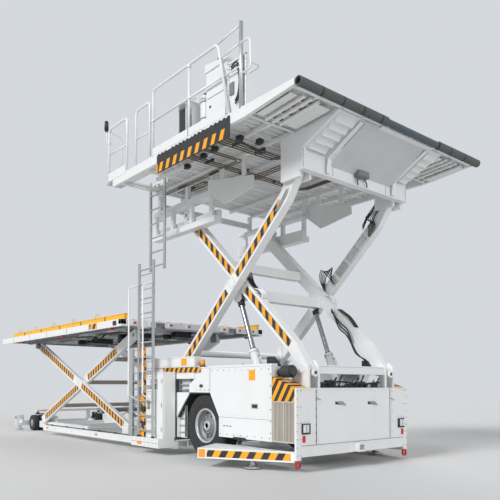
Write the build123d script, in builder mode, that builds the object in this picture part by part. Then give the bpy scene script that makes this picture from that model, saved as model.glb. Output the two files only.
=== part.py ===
from build123d import *
import os
from math import atan2, cos, degrees, hypot, radians, sin

os.makedirs("parts", exist_ok=True)

# Overall sizes in millimetres: X forward, Y left, Z up, floor at Z = 0,
# X = 0 at the front axle, Y = 0 at the centre plane.

# chassis
half_width = 1350
front_x = 2300
panel_top = 1240
cover_top = 1600
rail_out = 1400
rail_bottom = 110
rail_depth = 150
frame_rear = -9150
wheel_radius = 575
wheel_width = 340
wheel_y = 1130
rear_radius = 220
rear_axle_x = -8640

# bridge scissor
pin_x = 2100
pin_low = 1540
pin_high = 4500
reach = 2960
inner_y = (860, 1000)
outer_y = (1060, 1200)
roller_radius = 88
knee = (1250, 1150)
arm_depth = 210

# lift cylinders of the bridge, in the X-Z plane
eye = (500, 2800)
foot = (1280, 800)
foot_shape = ((1900, 400), (2259, 400), (2259, 1580), (2190, 1660), (2010, 1660), (1900, 1400))
lug_shape = ((1140, 420), (1420, 420), (1420, 700), (1330, 900), (1230, 900), (1140, 700))

# ladders and hooks
ladder_x = (-1570, -1055)
ladder_y = 1720
hook_radius = 32

# bridge
deck_top = 5200
deck_half = 2200
deck_rear = -1750
deck_nose = 3130

# platform scissor
hinge_x = -2850
hinge_low = 360
hinge_high = 2360
run = 4940
low_inner = (1040, 1120)
low_outer = (1155, 1235)
low_depth = 210

low_roller = 70
low_foot = (-3000, 230)
low_eye = (-4010, 668)
low_cylinder_y = 520
tube = (-4129, 719)
eye_lug = ((-3985, 610), (-3960, 690), (-4065, 738), (-4100, 650))
tube_bracket = ((-4225, 801), (-4035, 724), (-4060, 660), (-4130, 635), (-4190, 660))

# platform
plat_top = 2590
plat_half = 1850
plat_front = -2050
plat_rear = -8950
plat_edge = 100


def block(x, y, z, mode=Mode.ADD):
    centre = ((x[0] + x[1]) / 2, (y[0] + y[1]) / 2, (z[0] + z[1]) / 2)
    with Locations(centre):
        Box(abs(x[1] - x[0]), abs(y[1] - y[0]), abs(z[1] - z[0]), mode=mode)


def pair(x, y, z, mode=Mode.ADD):
    block(x, y, z, mode)
    block(x, (-y[1], -y[0]), z, mode)


def bar(p, q, radius, mode=Mode.ADD):
    start = Vector(*p)
    end = Vector(*q)
    plane = Plane(origin=start, z_dir=end - start)
    with BuildSketch(plane) as section:
        Circle(radius)
    extrude(section.sketch, amount=(end - start).length, mode=mode)


def square_bar(p, q, wide, deep, mode=Mode.ADD):
    start = Vector(*p)
    end = Vector(*q)
    along = end - start
    side = Vector(0, 1, 0) if abs(along.Y) < 0.9 * along.length else Vector(1, 0, 0)
    plane = Plane(origin=start, x_dir=side.cross(along).cross(along) * -1, z_dir=along)
    with BuildSketch(plane) as section:
        Rectangle(wide, deep)
    extrude(section.sketch, amount=along.length, mode=mode)


def side_plate(points, y, mode=Mode.ADD):
    with BuildSketch(Plane.XZ.offset(-max(y))) as outline:
        with BuildLine():
            Polyline(*points, close=True)
        make_face()
    extrude(outline.sketch, amount=max(y) - min(y), mode=mode)


def both_sides(points, y, mode=Mode.ADD):
    side_plate(points, y, mode)
    side_plate(points, (-y[1], -y[0]), mode)


def cross_plate(points, x, mode=Mode.ADD):
    with BuildSketch(Plane.YZ.offset(min(x))) as outline:
        with BuildLine():
            Polyline(*points, close=True)
        make_face()
    extrude(outline.sketch, amount=max(x) - min(x), mode=mode)


def flat_plate(points, z, mode=Mode.ADD):
    with BuildSketch(Plane.XY.offset(min(z))) as outline:
        with BuildLine():
            Polyline(*points, close=True)
        make_face()
    extrude(outline.sketch, amount=max(z) - min(z), mode=mode)


def finish(part, name):
    part.label = name
    export_step(part, "parts/" + name + ".step")


# low rear frame: outer rails, inner roller tracks and cross members
with BuildPart() as low_frame:
    pair((-7060, -830), (1310, rail_out), (rail_bottom, 250))
    pair((-8290, -5200), (930, 1030), (rail_bottom, hinge_low - low_roller - 4))
    pair((-5199, -1101), (930, 1030), (rail_bottom, 180))
    pair((-8290, -7300), (905, 929), (rail_bottom, 460))
    for x in (-6800, -5300, -2500, -1000):
        block((x - 50, x + 50), (-929, 929), (130, 240))
    block((-8300, -8200), (-904, 904), (130, 240))
    block((-3120, -2880), (-929, 929), (rail_bottom, 170))
    for x in (-6800, -5300, -3700, -2500, -1000):
        pair((x - 50, x + 50), (1031, 1309), (130, 210))
    for s in (-1, 1):
        both = (s * 1245, s * 1300)
        block((hinge_x - 130, hinge_x + 130), both, (251, hinge_low + 70))
        bar((hinge_x, s * 1140, hinge_low), (hinge_x, s * 1245, hinge_low), 34)
        for dy in (-72, 50):
            y = s * low_cylinder_y + dy
            block((-3060, -2940), (y, y + 22), (171, 290))
        y = s * low_cylinder_y
        bar((low_foot[0], y - 49, low_foot[1]), (low_foot[0], y + 49, low_foot[1]), 22)
finish(low_frame.part, "low_frame")

# tail with lamp brackets and the cross head over the rear wheels
with BuildPart() as rear_tail:
    block((rear_axle_x - 60, rear_axle_x + 60), (-640, 640), (150, 290))
    pair((-8579, -8301), (560, 640), (150, 290))
    pair((-9089, rear_axle_x - 61), (560, 640), (150, 290))
    block((frame_rear, -9090), (-rail_out, rail_out), (130, 270))
    pair((frame_rear, -9090), (1180, rail_out), (271, 430))
    pair((-9089, -8950), (1250, 1290), (200, 300))
    pair((rear_axle_x - 60, rear_axle_x + 60), (560, 640), (291, 530))
    block((rear_axle_x - 60, rear_axle_x + 60), (-1010, 1010), (531, 590))
finish(rear_tail.part, "rear_tail")

# front longitudinals, axle beam and bulkhead
with BuildPart() as front_frame:
    pair((-829, 1939), (560, 700), (420, 640))
    block((-90, 90), (-559, 559), (470, 620))
    block((1900, 1939), (-559, 559), (420, 640))
    for s in (-1, 1):
        block((-70, 70), (s * 701, s * 830), (510, 640))
        for z in (770, 350):
            block((-60, 60), (s * 830, s * 930), (z, z + 30))
        block((-60, 60), (s * 795, s * 830), (350, 509))
        block((-60, 60), (s * 795, s * 830), (641, 800))
    block((-1100, -1051), (-1300, 1300), (251, 1399))
    pair((-1050, -830), (560, 700), (250, 640))
finish(front_frame.part, "front_frame")

# feet that carry the bridge arms
with BuildPart() as bridge_feet:
    for s in (-1, 1):
        for near, far in ((800, 845), (1015, 1050)):
            side_plate(foot_shape, sorted((s * near, s * far)))
        block((1940, 2259), (s * 846, s * 1014), (1100, 1180))
        bar((pin_x, s * 846, pin_low), (pin_x, s * 1014, pin_low), 48)
    block((1940, 2259), (-1050, 1050), (400, 460))
    for s in (-1, 1):
        for near, far in ((830, 865), (1000, 1035)):
            side_plate(lug_shape, sorted((s * near, s * far)))
        bar((foot[0], s * 866, foot[1]), (foot[0], s * 999, foot[1]), 37)
    block((1140, 1420), (-1035, 1035), (350, 419))
finish(bridge_feet.part, "bridge_feet")

# front panel in three bays with corner posts
with BuildPart() as front_panel:
    block((2262, front_x), (-929, 869), (390, panel_top))
    pair((2262, front_x), (1250, half_width), (180, panel_top))
    for y in ((-1249, -935), (875, 1249)):
        block((2262, front_x), y, (390, panel_top))
finish(front_panel.part, "front_panel")

# bumper beam with the tow jaw
with BuildPart() as front_bumper:
    block((2190, front_x), (-1249, 1249), (225, 385))
    for z in (235, 345):
        block((front_x + 1, 2420), (-75, 75), (z, z + 30))
    for y in (-75, 55):
        block((front_x + 1, 2410), (y, y + 20), (265, 345))
    with Locations((2385, 0, 305)):
        Cylinder(15, 160, mode=Mode.SUBTRACT)
finish(front_bumper.part, "front_bumper")

# side covers around the open wheel arches
with BuildPart() as side_covers:
    skin = (half_width - 40, half_width)
    both_sides(((200, 1155), (455, 750), (1780, 750), (1780, cover_top), (200, cover_top)), skin)
    pair((455, 1780), skin, (420, 749))
    pair((-244, 199), skin, (1155, cover_top))
    both_sides(((-420, 1155), (-245, 1155), (-245, 1398), (-420, 1300)), skin)
    both_sides(((-829, 690), (-421, 1153), (-829, 1153)), skin)
    pair((200, 1780), (1235, half_width - 41), (cover_top - 30, cover_top))
    pair((1750, 1780), (1100, half_width - 41), (470, cover_top - 31))
finish(side_covers.part, "side_covers")

# black liners over the wheels
with BuildPart() as arch_liners:
    for low, high in (((-800, 715), (-418, 1148)), ((200, 1184), (660, 854))):
        both_sides((low, high, (high[0], high[1] - 22), (low[0], low[1] - 22)), (960, half_width - 42))
    pair((-410, 195), (960, half_width - 42), (1162, 1184))
    pair((662, 684), (960, half_width - 42), (420, 829))
finish(arch_liners.part, "arch_liners")

# ribbed grilles and the sloped blocks over them
with BuildPart() as side_grilles:
    pair((1781, 2261), (half_width - 60, half_width - 30), (425, 1040))
    for i in range(16):
        x = 1796 + i * 29
        pair((x, x + 14), (half_width - 29, half_width - 8), (440, 1025))
finish(side_grilles.part, "side_grilles")

with BuildPart() as corner_blocks:
    both_sides(((1781, 1041), (2261, 1041), (2261, panel_top), (1781, 1410)), (1080, half_width))
finish(corner_blocks.part, "corner_blocks")

# engine and cooler between the front feet, with the air cleaner drum
with BuildPart() as engine_pack:
    block((950, 1850), (-450, 450), (660, 1300))
    block((1960, 2230), (-760, 760), (640, 1200))
    with Locations((1990, -1215, 1490)):
        Cylinder(95, 190, rotation=(0, 90, 0))
    with Locations((1990, -1215, 1490)):
        Cylinder(70, 260, rotation=(0, 90, 0))
finish(engine_pack.part, "engine_pack")

# channel tracks for the lower rollers of the bridge scissor
with BuildPart() as bridge_tracks:
    pair((-2030, -250), (1215, 1360), (pin_low + roller_radius + 4, pin_low + 260))
    pair((-2030, -250), (1320, 1360), (1400, pin_low + roller_radius + 3))
    pair((-2030, -250), (1215, 1319), (1400, pin_low - roller_radius - 4))
finish(bridge_tracks.part, "bridge_tracks")

# cabinets outside the tracks, with sills under them and bars over the steps
with BuildPart() as side_cabinets:
    pair((-1410, -830), (1380, 1650), (311, 1510))
    pair((-1800, -830), (rail_out + 1, 1745), (140, 310))
finish(side_cabinets.part, "side_cabinets")

with BuildPart() as hazard_bars:
    pair((-1250, -60), (1362, 1379), (1515, 1600))
    block((-1540, -1420), (-1690, -1655), (311, 1990))
finish(hazard_bars.part, "hazard_bars")

with BuildPart() as access_steps:
    for s in (-1, 1):
        for x in (-800, -440):
            square_bar((x, s * 1290, 1160), (x, s * 1290, 1399), 30, 30)
        for z in (1200, 1290, 1380):
            bar((-780, s * 1290, z), (-460, s * 1290, z), 14)
finish(access_steps.part, "access_steps")

with BuildPart() as step_wings:
    wing = ((2261, 1351), (850, 2070), (440, 1400), (700, 1351))
    flat_plate(wing, (150, 310))
    flat_plate([(x, -y) for x, y in wing], (150, 310))
finish(step_wings.part, "step_wings")

# stabiliser feet under the wings and at the tail
with BuildPart() as stabiliser_feet:
    for s in (-1, 1):
        for x, y, top, wide in ((1500, 1500, 150, 140), (-9120, 1290, 130, 100)):
            bar((x, s * y, 41), (x, s * y, top), 42)
            bar((x, s * y, 20), (x, s * y, 40), wide)
finish(stabiliser_feet.part, "stabiliser_feet")

# tie-down hooks under the corner posts
with BuildPart() as tie_down_hooks:
    for s in (-1, 1):
        with BuildSketch(Plane.YZ.offset(2268)) as ring:
            with Locations((s * 1300, 120)):
                Circle(60)
                Circle(hook_radius, mode=Mode.SUBTRACT)
        extrude(ring.sketch, amount=25)
finish(tie_down_hooks.part, "tie_down_hooks")

# lamps on the front panel, the tail and the rails
with BuildPart() as lamps:
    pair((front_x, front_x + 28), (1115, 1235), (570, 700))
finish(lamps.part, "lamps")

with BuildPart() as red_lamps:
    pair((front_x, front_x + 18), (1180, 1230), (440, 535))
    pair((frame_rear - 20, frame_rear), (1290, 1380), (290, 410))
finish(red_lamps.part, "red_lamps")

with BuildPart() as marker_lamps:
    pair((-6850, -6740), (rail_out, rail_out + 12), (165, 205))
    pair((-4050, -3940), (rail_out, rail_out + 12), (165, 205))
    pair((-1560, -1420), (1745, 1757), (185, 235))
finish(marker_lamps.part, "marker_lamps")


def tyre(x, y, radius, width, rim):
    with BuildSketch(Plane.XZ.offset(-(y + width / 2))) as ring:
        with Locations((x, radius)):
            Circle(radius)
            Circle(rim, mode=Mode.SUBTRACT)
    tread = extrude(ring.sketch, amount=width)
    rims = tread.edges().filter_by(GeomType.CIRCLE).sort_by(lambda e: -e.radius)[:2]
    fillet(rims, 0.12 * radius)


for side, s in (("right", -1), ("left", 1)):
    with BuildPart() as front_tyre:
        tyre(0, s * wheel_y, wheel_radius, wheel_width, 305)
    finish(front_tyre.part, "front_tyre_" + side)
    outer = s * wheel_y + s * wheel_width / 2
    with BuildPart() as front_rim:
        bar((0, s * wheel_y - s * 160, wheel_radius), (0, outer - s * 15, wheel_radius), 304)
        bar((0, outer - s * 130, wheel_radius), (0, outer, wheel_radius), 275, Mode.SUBTRACT)
        bar((0, outer - s * 131, wheel_radius), (0, outer - s * 70, wheel_radius), 130)
        bar((0, outer - s * 71, wheel_radius), (0, outer - s * 30, wheel_radius), 80)
        bar((0, s * 960, wheel_radius), (0, s * 1030, wheel_radius), 51, Mode.SUBTRACT)
    finish(front_rim.part, "front_rim_" + side)
    with BuildPart() as knuckle:
        bar((0, s * 880, 385), (0, s * 880, 765), 42)
        bar((0, s * 880, wheel_radius), (0, s * 1025, wheel_radius), 50)
    finish(knuckle.part, "front_knuckle_" + side)
    with BuildPart() as rear_tyres:
        for dy in (-95, 95):
            tyre(rear_axle_x, s * 950 + dy, rear_radius, 150, 111)
    finish(rear_tyres.part, "rear_tyres_" + side)
    with BuildPart() as rear_fork:
        block((rear_axle_x - 50, rear_axle_x + 50), (s * 745, s * 770), (160, 451))
        block((rear_axle_x - 60, rear_axle_x + 60), (s * 745, s * 1005), (452, 480))
        bar((rear_axle_x, s * 950, 481), (rear_axle_x, s * 950, 529), 40)
        bar((rear_axle_x, s * 770, rear_radius), (rear_axle_x, s * 789, rear_radius), 45)
    finish(rear_fork.part, "rear_fork_" + side)
    with BuildPart() as rear_rims:
        with Locations((rear_axle_x, s * 950, rear_radius)):
            Cylinder(110, 320, rotation=(90, 0, 0))
    finish(rear_rims.part, "rear_rims_" + side)

# chassis ladder, grab rails and the striped guard mast on the right side
with BuildPart() as chassis_ladder:
    for x in ladder_x:
        block((x - 30, x + 30), (-ladder_y - 15, -ladder_y + 15), (310, 3600))
    for i in range(12):
        z = 440 + 275 * i
        bar((ladder_x[0] + 31, -ladder_y, z), (ladder_x[1] - 31, -ladder_y, z), 16)
    for z in (500, 1300):
        block((ladder_x[1] - 20, ladder_x[1] + 20), (-ladder_y + 16, -1650), (z, z + 60))
        block((ladder_x[0] - 20, ladder_x[0] + 70), (-ladder_y + 16, -1691), (z, z + 60))
    block((-2020, -1880), (-1680, -1640), (311, 2000))
    block((-1640, -1560), (-1680, -1640), (311, 2000))
    for i in range(11):
        z = 460 + 150 * i
        bar((-1879, -1660, z), (-1641, -1660, z), 12)
finish(chassis_ladder.part, "chassis_ladder")

with BuildPart() as grab_rails:
    for x in ladder_x:
        y = -ladder_y - 220
        bar((x, y, 1120), (x, y, 3100), 16)
        bar((x, y, 3110), (x, -ladder_y - 30, 3190), 16)
        bar((x, y, 1110), (x, -ladder_y - 30, 1000), 16)
finish(grab_rails.part, "grab_rails")

# bridge scissor arms
cx = pin_x - reach / 2
cz = (pin_low + pin_high) / 2


def arm_outline(flip):
    half = arm_depth / 2
    ux, uz = knee[0] / hypot(*knee), knee[1] / hypot(*knee)
    nx, nz = -uz * half, ux * half
    tail = -reach / 2 * (ux + uz) - 80
    ex = reach / 2
    points = [(tail * ux + nx, tail * uz + nz), (knee[0] + nx, knee[1] + nz), (ex - 21, ex + 136), (ex + 135, ex + 28),
              (knee[0] - nx, knee[1] - nz), (-1254, -1296), (-1400, -1560), (-1540, -1580)]
    return [(cx + px, cz + flip * pz) for px, pz in points]


with BuildPart() as bridge_inner_arms:
    both_sides(arm_outline(-1), inner_y)
    for s in (-1, 1):
        bar((pin_x, s * 850, pin_low), (pin_x, s * 1010, pin_low), 50, Mode.SUBTRACT)
finish(bridge_inner_arms.part, "bridge_inner_arms")

# pins at the crossing and at the upper rollers, cross beams and lugs for the lift rods
rod_lug = ((430, 3050), (600, 2893), (600, 2760), (545, 2715), (455, 2715), (430, 2760))
with BuildPart() as inner_arm_fittings:
    for s in (-1, 1):
        bar((cx, s * 1001, cz), (cx, s * 1200, cz), 55)
        bar((pin_x - reach, s * 1001, pin_high), (pin_x - reach, s * 1130, pin_high), 39)
        for near, far in ((862, 883), (977, 998)):
            side_plate(rod_lug, sorted((s * near, s * far)))
    block((560, 740), (-859, 859), (2750, 2930))
    block((40, 200), (-859, 859), (3340, 3500))
    for s in (-1, 1):
        bar((pin_x - reach, s * 1022, pin_high), (pin_x - reach, s * 1130, pin_high), roller_radius)
        bar((pin_x - reach, s * 1010, pin_high), (pin_x - reach, s * 1140, pin_high), 40, Mode.SUBTRACT)
finish(inner_arm_fittings.part, "inner_arm_fittings")

with BuildPart() as bridge_outer_arms:
    both_sides(arm_outline(1), outer_y)
    for s in (-1, 1):
        bar((pin_x, s * 1050, pin_high), (pin_x, s * 1210, pin_high), 50, Mode.SUBTRACT)
        bar((cx, s * 1050, cz), (cx, s * 1210, cz), 57, Mode.SUBTRACT)
finish(bridge_outer_arms.part, "bridge_outer_arms")

with BuildPart() as outer_arm_fittings:
    for s in (-1, 1):
        bar((pin_x - reach, s * 1201, pin_low), (pin_x - reach, s * 1310, pin_low), 39)
    bar((pin_x - reach + 260, -1059, pin_low + 330), (pin_x - reach + 260, 1059, pin_low + 330), 60)
    for s in (-1, 1):
        bar((pin_x - reach, s * 1216, pin_low), (pin_x - reach, s * 1310, pin_low), roller_radius)
        bar((pin_x - reach, s * 1205, pin_low), (pin_x - reach, s * 1320, pin_low), 40, Mode.SUBTRACT)
finish(outer_arm_fittings.part, "outer_arm_fittings")


def lift_barrel(base, tip, y, wide, reach_out, bore, hole):
    span = hypot(tip[0] - base[0], tip[1] - base[1])
    ux = (tip[0] - base[0]) / span
    uz = (tip[1] - base[1]) / span
    bar((base[0] + ux * 40, y, base[1] + uz * 40), (base[0] + ux * reach_out, y, base[1] + uz * reach_out), wide)
    start = (base[0] + ux * 110, y, base[1] + uz * 110)
    bar(start, (base[0] + ux * (reach_out + 10), y, base[1] + uz * (reach_out + 10)), bore, Mode.SUBTRACT)
    bar((base[0], y - 38, base[1]), (base[0], y + 38, base[1]), wide + 5)
    bar((base[0], y - 50, base[1]), (base[0], y + 50, base[1]), hole, Mode.SUBTRACT)


def lift_rod(base, tip, y, start, thick, ring):
    span = hypot(tip[0] - base[0], tip[1] - base[1])
    ux = (tip[0] - base[0]) / span
    uz = (tip[1] - base[1]) / span
    bar((base[0] + ux * start, y, base[1] + uz * start), (tip[0] - ux * 50, y, tip[1] - uz * 50), thick)
    bar((tip[0], y - 34, tip[1]), (tip[0], y + 34, tip[1]), ring)


# bridge lift cylinders: barrels swing on the chassis, rods slide in them
with BuildPart() as bridge_barrels:
    for y in (-930, 930):
        lift_barrel(foot, eye, y, 62, 1150, 48, 39)
finish(bridge_barrels.part, "bridge_barrels")

with BuildPart() as bridge_rods:
    for y in (-930, 930):
        lift_rod(foot, eye, y, 780, 44, 62)
finish(bridge_rods.part, "bridge_rods")

# bridge deck plate in four fields around the hatch over the ladders
hatch_x = (-1640, -980)
hatch_y = (-1820, -1430)
with BuildPart() as bridge_deck:
    skin = (deck_top - 30, deck_top)
    block((hatch_x[1] + 1, deck_nose), (-deck_half, deck_half), skin)
    block((deck_rear, hatch_x[0] - 1), (-deck_half, deck_half), skin)
    block(hatch_x, (hatch_y[1], deck_half), skin)
    block(hatch_x, (-deck_half, hatch_y[0]), skin)
    both_sides(((deck_rear, 5040), (2150, 5040), (deck_nose, 5120), (deck_nose, 5169), (deck_rear, 5169)),
               (2140, deck_half))
    for y in (-1700, -1230, -640, 640, 1230, 1700):
        block((-970 if y == -1700 else deck_rear, 2200), (y - 25, y + 25), (5060, 5115))
        side_plate(((2201, 5060), (deck_nose - 61, 5125), (deck_nose - 61, 5169), (2201, 5169)), (y - 25, y + 25))
    for i in range(9):
        x = deck_rear + 40 + i * 480
        if i == 1:
            block((x - 30, x + 30), (-1429, 2139), (5116, 5169))
        else:
            block((x - 30, x + 30), (-2139, 2139), (5116, 5169))
    block((deck_nose - 60, deck_nose), (-2139, 2139), (5111, 5169))
finish(bridge_deck.part, "bridge_deck")

nose_x = deck_nose - 62
with BuildPart() as bridge_front_beam:
    block((2290, 2370), (-1278, 1278), (4470, 5059))
    block((1900, 1960), (-1009, 1009), (4700, 5059))
    for y in ((-1278, -776), (876, 1278)):
        side_plate(((2371, 4790), (2371, 5059), (nose_x, 5108), (nose_x, 5095)), y)
    side_plate(((2371, 4640), (2371, 5059), (nose_x, 5108), (nose_x, 5095)), (-749, 849))
    for y in (-775, 850):
        side_plate(((2371, 4500), (2405, 4500), (2440, 4720), (nose_x, 5060), (nose_x, 5108), (2371, 5059)), (y, y + 25))
    pair((1900, 2289), (1010, 1050), (4370, 5059))
    pair((1900, 2289), (1215, 1278), (4370, 5059))
    for s in (-1, 1):
        bar((pin_x, s * 1051, pin_high), (pin_x, s * 1214, pin_high), 48)
finish(bridge_front_beam.part, "bridge_front_beam")

# guide rails that hang under the deck for the upper rollers
with BuildPart() as bridge_rails:
    pair((-1960, 110), (1030, 1200), (4180, 4285))
    pair((-1960, 110), (1030, 1110), (4286, pin_high - 95))
    pair((-1960, 110), (1136, 1200), (4650, 4750))
    pair((-1960, 110), (1030, 1135), (4650, 4700))
    for x in (-1850, -1240, -620, 0):
        pair((x - 40, x + 40), (1136, 1200), (4286, 4649))
    for x in (-1710, -750, 30):
        pair((x - 45, x + 45), (1130, 1200), (4751, 5059))
    block((-1740, -1680), (-1129, 1129), (4790, 4900))
    both_sides(((-40, 4930), (1190, 4700), (1210, 4510), (420, 4390), (-40, 4740)), (1201, 1225))
    pair((300, 420), (1201, 1225), (4880, 5059))
    pair((900, 1000), (1201, 1225), (4760, 5059))
finish(bridge_rails.part, "bridge_rails")

# nose bumpers
with BuildPart() as bridge_bumpers:
    for near, far in ((-2200, -380), (-360, 960), (980, 2200)):
        bar((deck_nose + 65, near, 5140), (deck_nose + 65, far, 5140), 64)
finish(bridge_bumpers.part, "bridge_bumpers")

# handrails with their toe board and skirt
rail_y = (-2200, -2160)
with BuildPart() as bridge_handrails:
    for x in (-330, 750):
        block((x - 20, x + 20), rail_y, (deck_top, 6339))
    block((-350, 1500), rail_y, (6340, 6380))
    square_bar((1511, -2180, 6350), (1760, -2180, 5221), 40, 40)
    block((-309, 729), rail_y, (5800, 5840))
    block((771, 1590), rail_y, (5800, 5840))
    block((1660, 2019), rail_y, (5790, 5830))
    block((2020, 2060), rail_y, (deck_top, 6450))
    for x in (-1940, -1240, -915, -435):
        block((x - 20, x + 20), rail_y, (5161 if x < deck_rear else deck_top, 6179))
    block((-1960, -1220), rail_y, (6180, 6220))
    block((-935, -415), rail_y, (6180, 6220))
    block((-1919, -1261), rail_y, (5680, 5715))
finish(bridge_handrails.part, "bridge_handrails")

with BuildPart() as deck_skirt:
    block((-309, 729), (-2200, -2185), (deck_top, 5330))
    block((771, 1700), (-2200, -2185), (deck_top, 5330))
    block((-150, 1820), (-2220, -2201), (4850, 5150))
finish(deck_skirt.part, "deck_skirt")

with BuildPart() as operator_console:
    block((1130, 1650), (-2120, -1780), (deck_top, 6080))
    block((1690, 2110), (-2130, -2095), (deck_top, 5990))
    with Locations((955, -1990, 5600)):
        Cylinder(95, 420)
    with Locations((955, -1990, 5294)):
        Cylinder(45, 188)
finish(operator_console.part, "operator_console")

# rear walkway with its rails, and the ladder that hangs under the hatch
with BuildPart() as rear_walkway:
    block((-1990, -1751), (-2200, -1900), (5130, 5160))
finish(rear_walkway.part, "rear_walkway")

with BuildPart() as bridge_ladder:
    for x in (-1530, -1030):
        block((x - 30, x + 30), (-1515, -1485), (3470, deck_top))
    for i in range(6):
        z = 3560 + 275 * i
        bar((-1499, -1500, z), (-1061, -1500, z), 16)
finish(bridge_ladder.part, "bridge_ladder")

# platform scissor arms
rear_x = hinge_x - run
mid_x = hinge_x - run / 2
mid_z = (hinge_low + hinge_high) / 2
rise = hinge_high - hinge_low
span = hypot(run, rise)
ax = run / span
az = rise / span


def low_arm(lean):
    half = low_depth / 2
    end = span / 2 + 90
    points = [(-end * ax - az * half, -end * az + ax * half), (end * ax - az * half, end * az + ax * half),
              (end * ax + az * half, end * az - ax * half), (-end * ax + az * half, -end * az - ax * half)]
    return [(mid_x + lean * px, mid_z + pz) for px, pz in points]


with BuildPart() as platform_outer_arms:
    both_sides(low_arm(-1), low_outer)
    for s in (-1, 1):
        bar((hinge_x, s * 1150, hinge_low), (hinge_x, s * 1240, hinge_low), 36, Mode.SUBTRACT)
finish(platform_outer_arms.part, "platform_outer_arms")

with BuildPart() as platform_outer_fittings:
    for s in (-1, 1):
        bar((mid_x, s * 1154, mid_z), (mid_x, s * 1041, mid_z), 36)
        bar((rear_x, s * 1236, hinge_high), (rear_x, s * 1325, hinge_high), low_roller)
        for dy in (-60, 40):
            edges = sorted((s * low_cylinder_y + dy, s * low_cylinder_y + dy + 20))
            side_plate(eye_lug, edges)
    for y in ((-1254, -1155), (1155, 1254)):
        side_plate(tube_bracket, (max(y[0], -1235), min(y[1], 1235)))
    bar((tube[0], -1154, tube[1]), (tube[0], 1154, tube[1]), 50)
finish(platform_outer_fittings.part, "platform_outer_fittings")

with BuildPart() as platform_inner_arms:
    both_sides(low_arm(1), low_inner)
    for s in (-1, 1):
        bar((hinge_x, s * 1030, hinge_high), (hinge_x, s * 1130, hinge_high), 36, Mode.SUBTRACT)
        bar((mid_x, s * 1030, mid_z), (mid_x, s * 1130, mid_z), 38, Mode.SUBTRACT)
finish(platform_inner_arms.part, "platform_inner_arms")

with BuildPart() as platform_inner_fittings:
    for s in (-1, 1):
        bar((rear_x, s * 1039, hinge_low), (rear_x, s * 950, hinge_low), low_roller)
    for t in (-1620, 0, 1402):
        bar((mid_x + t * ax, -1039, mid_z + t * az), (mid_x + t * ax, 1039, mid_z + t * az), 50)
finish(platform_inner_fittings.part, "platform_inner_fittings")

# platform lift cylinders
with BuildPart() as platform_barrels:
    for y in (-low_cylinder_y, low_cylinder_y):
        lift_barrel(low_foot, low_eye, y, 45, 760, 36, 24)
finish(platform_barrels.part, "platform_barrels")

with BuildPart() as platform_rods:
    for y in (-low_cylinder_y, low_cylinder_y):
        lift_rod(low_foot, low_eye, y, 300, 32, 42)
finish(platform_rods.part, "platform_rods")

# main platform
with BuildPart() as platform_deck:
    block((plat_rear, plat_front), (-plat_half, plat_half), (plat_top - 30, plat_top))
finish(platform_deck.part, "platform_deck")

under = (plat_top - plat_edge, plat_top - 31)
with BuildPart() as platform_beams:
    pair((plat_rear, plat_front), (plat_half - 60, plat_half), under)
    block((plat_front - 60, plat_front), (61 - plat_half, plat_half - 61), under)
    block((plat_rear, plat_rear + 60), (61 - plat_half, plat_half - 61), under)
    for y in (600, 1330):
        pair((plat_rear + 61, plat_front - 61), (y, y + 60), under)
    pair((-8400, -5300), (1240, 1320), (hinge_high + low_roller + 4, plat_top - 31))
    pair((hinge_x - 90, hinge_x + 90), (1000, 1030), (hinge_high - 60, plat_top - 31))
    for s in (-1, 1):
        bar((hinge_x, s * 1031, hinge_high), (hinge_x, s * 1125, hinge_high), 34)
finish(platform_beams.part, "platform_beams")

with BuildPart() as platform_guides:
    pair((-8300, plat_front - 20), (1700, 1760), (plat_top, plat_top + 110))
finish(platform_guides.part, "platform_guides")
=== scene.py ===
import math
import bpy
import bmesh
import numpy as np
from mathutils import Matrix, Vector


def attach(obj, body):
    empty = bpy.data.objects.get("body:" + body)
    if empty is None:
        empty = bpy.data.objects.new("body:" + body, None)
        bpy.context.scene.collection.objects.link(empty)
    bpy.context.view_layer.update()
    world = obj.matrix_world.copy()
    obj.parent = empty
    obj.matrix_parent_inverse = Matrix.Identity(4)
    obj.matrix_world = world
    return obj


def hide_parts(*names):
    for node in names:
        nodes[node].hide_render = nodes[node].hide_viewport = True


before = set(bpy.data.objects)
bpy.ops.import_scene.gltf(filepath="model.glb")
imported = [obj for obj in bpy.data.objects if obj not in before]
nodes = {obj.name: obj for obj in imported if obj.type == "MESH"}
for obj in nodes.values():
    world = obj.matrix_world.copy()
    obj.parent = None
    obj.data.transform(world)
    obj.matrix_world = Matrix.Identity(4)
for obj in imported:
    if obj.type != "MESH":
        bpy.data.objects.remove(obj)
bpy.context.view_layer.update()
print("frame loaded", len(nodes), "nodes")

# camera: metres and radians; the shift keeps the verticals upright
view = {
    "place": (8.484, -7.502, 1.269),
    "yaw": 2.436,
    "pitch": 0.03,
    "lens": 43.09,
    "shiftY": 0.236,
}


def addCamera(values):
    camera = bpy.data.cameras.new("camera")
    camera.sensor_width = 36
    camera.lens = values["lens"]
    camera.shift_y = values["shiftY"]
    camera.clip_end = 200
    holder = bpy.data.objects.new("camera", camera)
    bpy.context.scene.collection.objects.link(holder)
    yaw, pitch = values["yaw"], values["pitch"]
    ahead = Vector((math.cos(yaw) * math.cos(pitch), math.sin(yaw) * math.cos(pitch), math.sin(pitch)))
    holder.location = values["place"]
    holder.rotation_euler = ahead.to_track_quat("-Z", "Y").to_euler()
    bpy.context.scene.camera = holder


addCamera(view)

# shared node groups


def newGroup(name, inputs, outputs):
    group = bpy.data.node_groups.new(name, "ShaderNodeTree")
    for label, kind, value in inputs:
        socket = group.interface.new_socket(label, in_out="INPUT", socket_type=kind)
        if value is not None:
            socket.default_value = value
    for label, kind in outputs:
        group.interface.new_socket(label, in_out="OUTPUT", socket_type=kind)
    return group, group.nodes.new("NodeGroupInput"), group.nodes.new("NodeGroupOutput")


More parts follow.
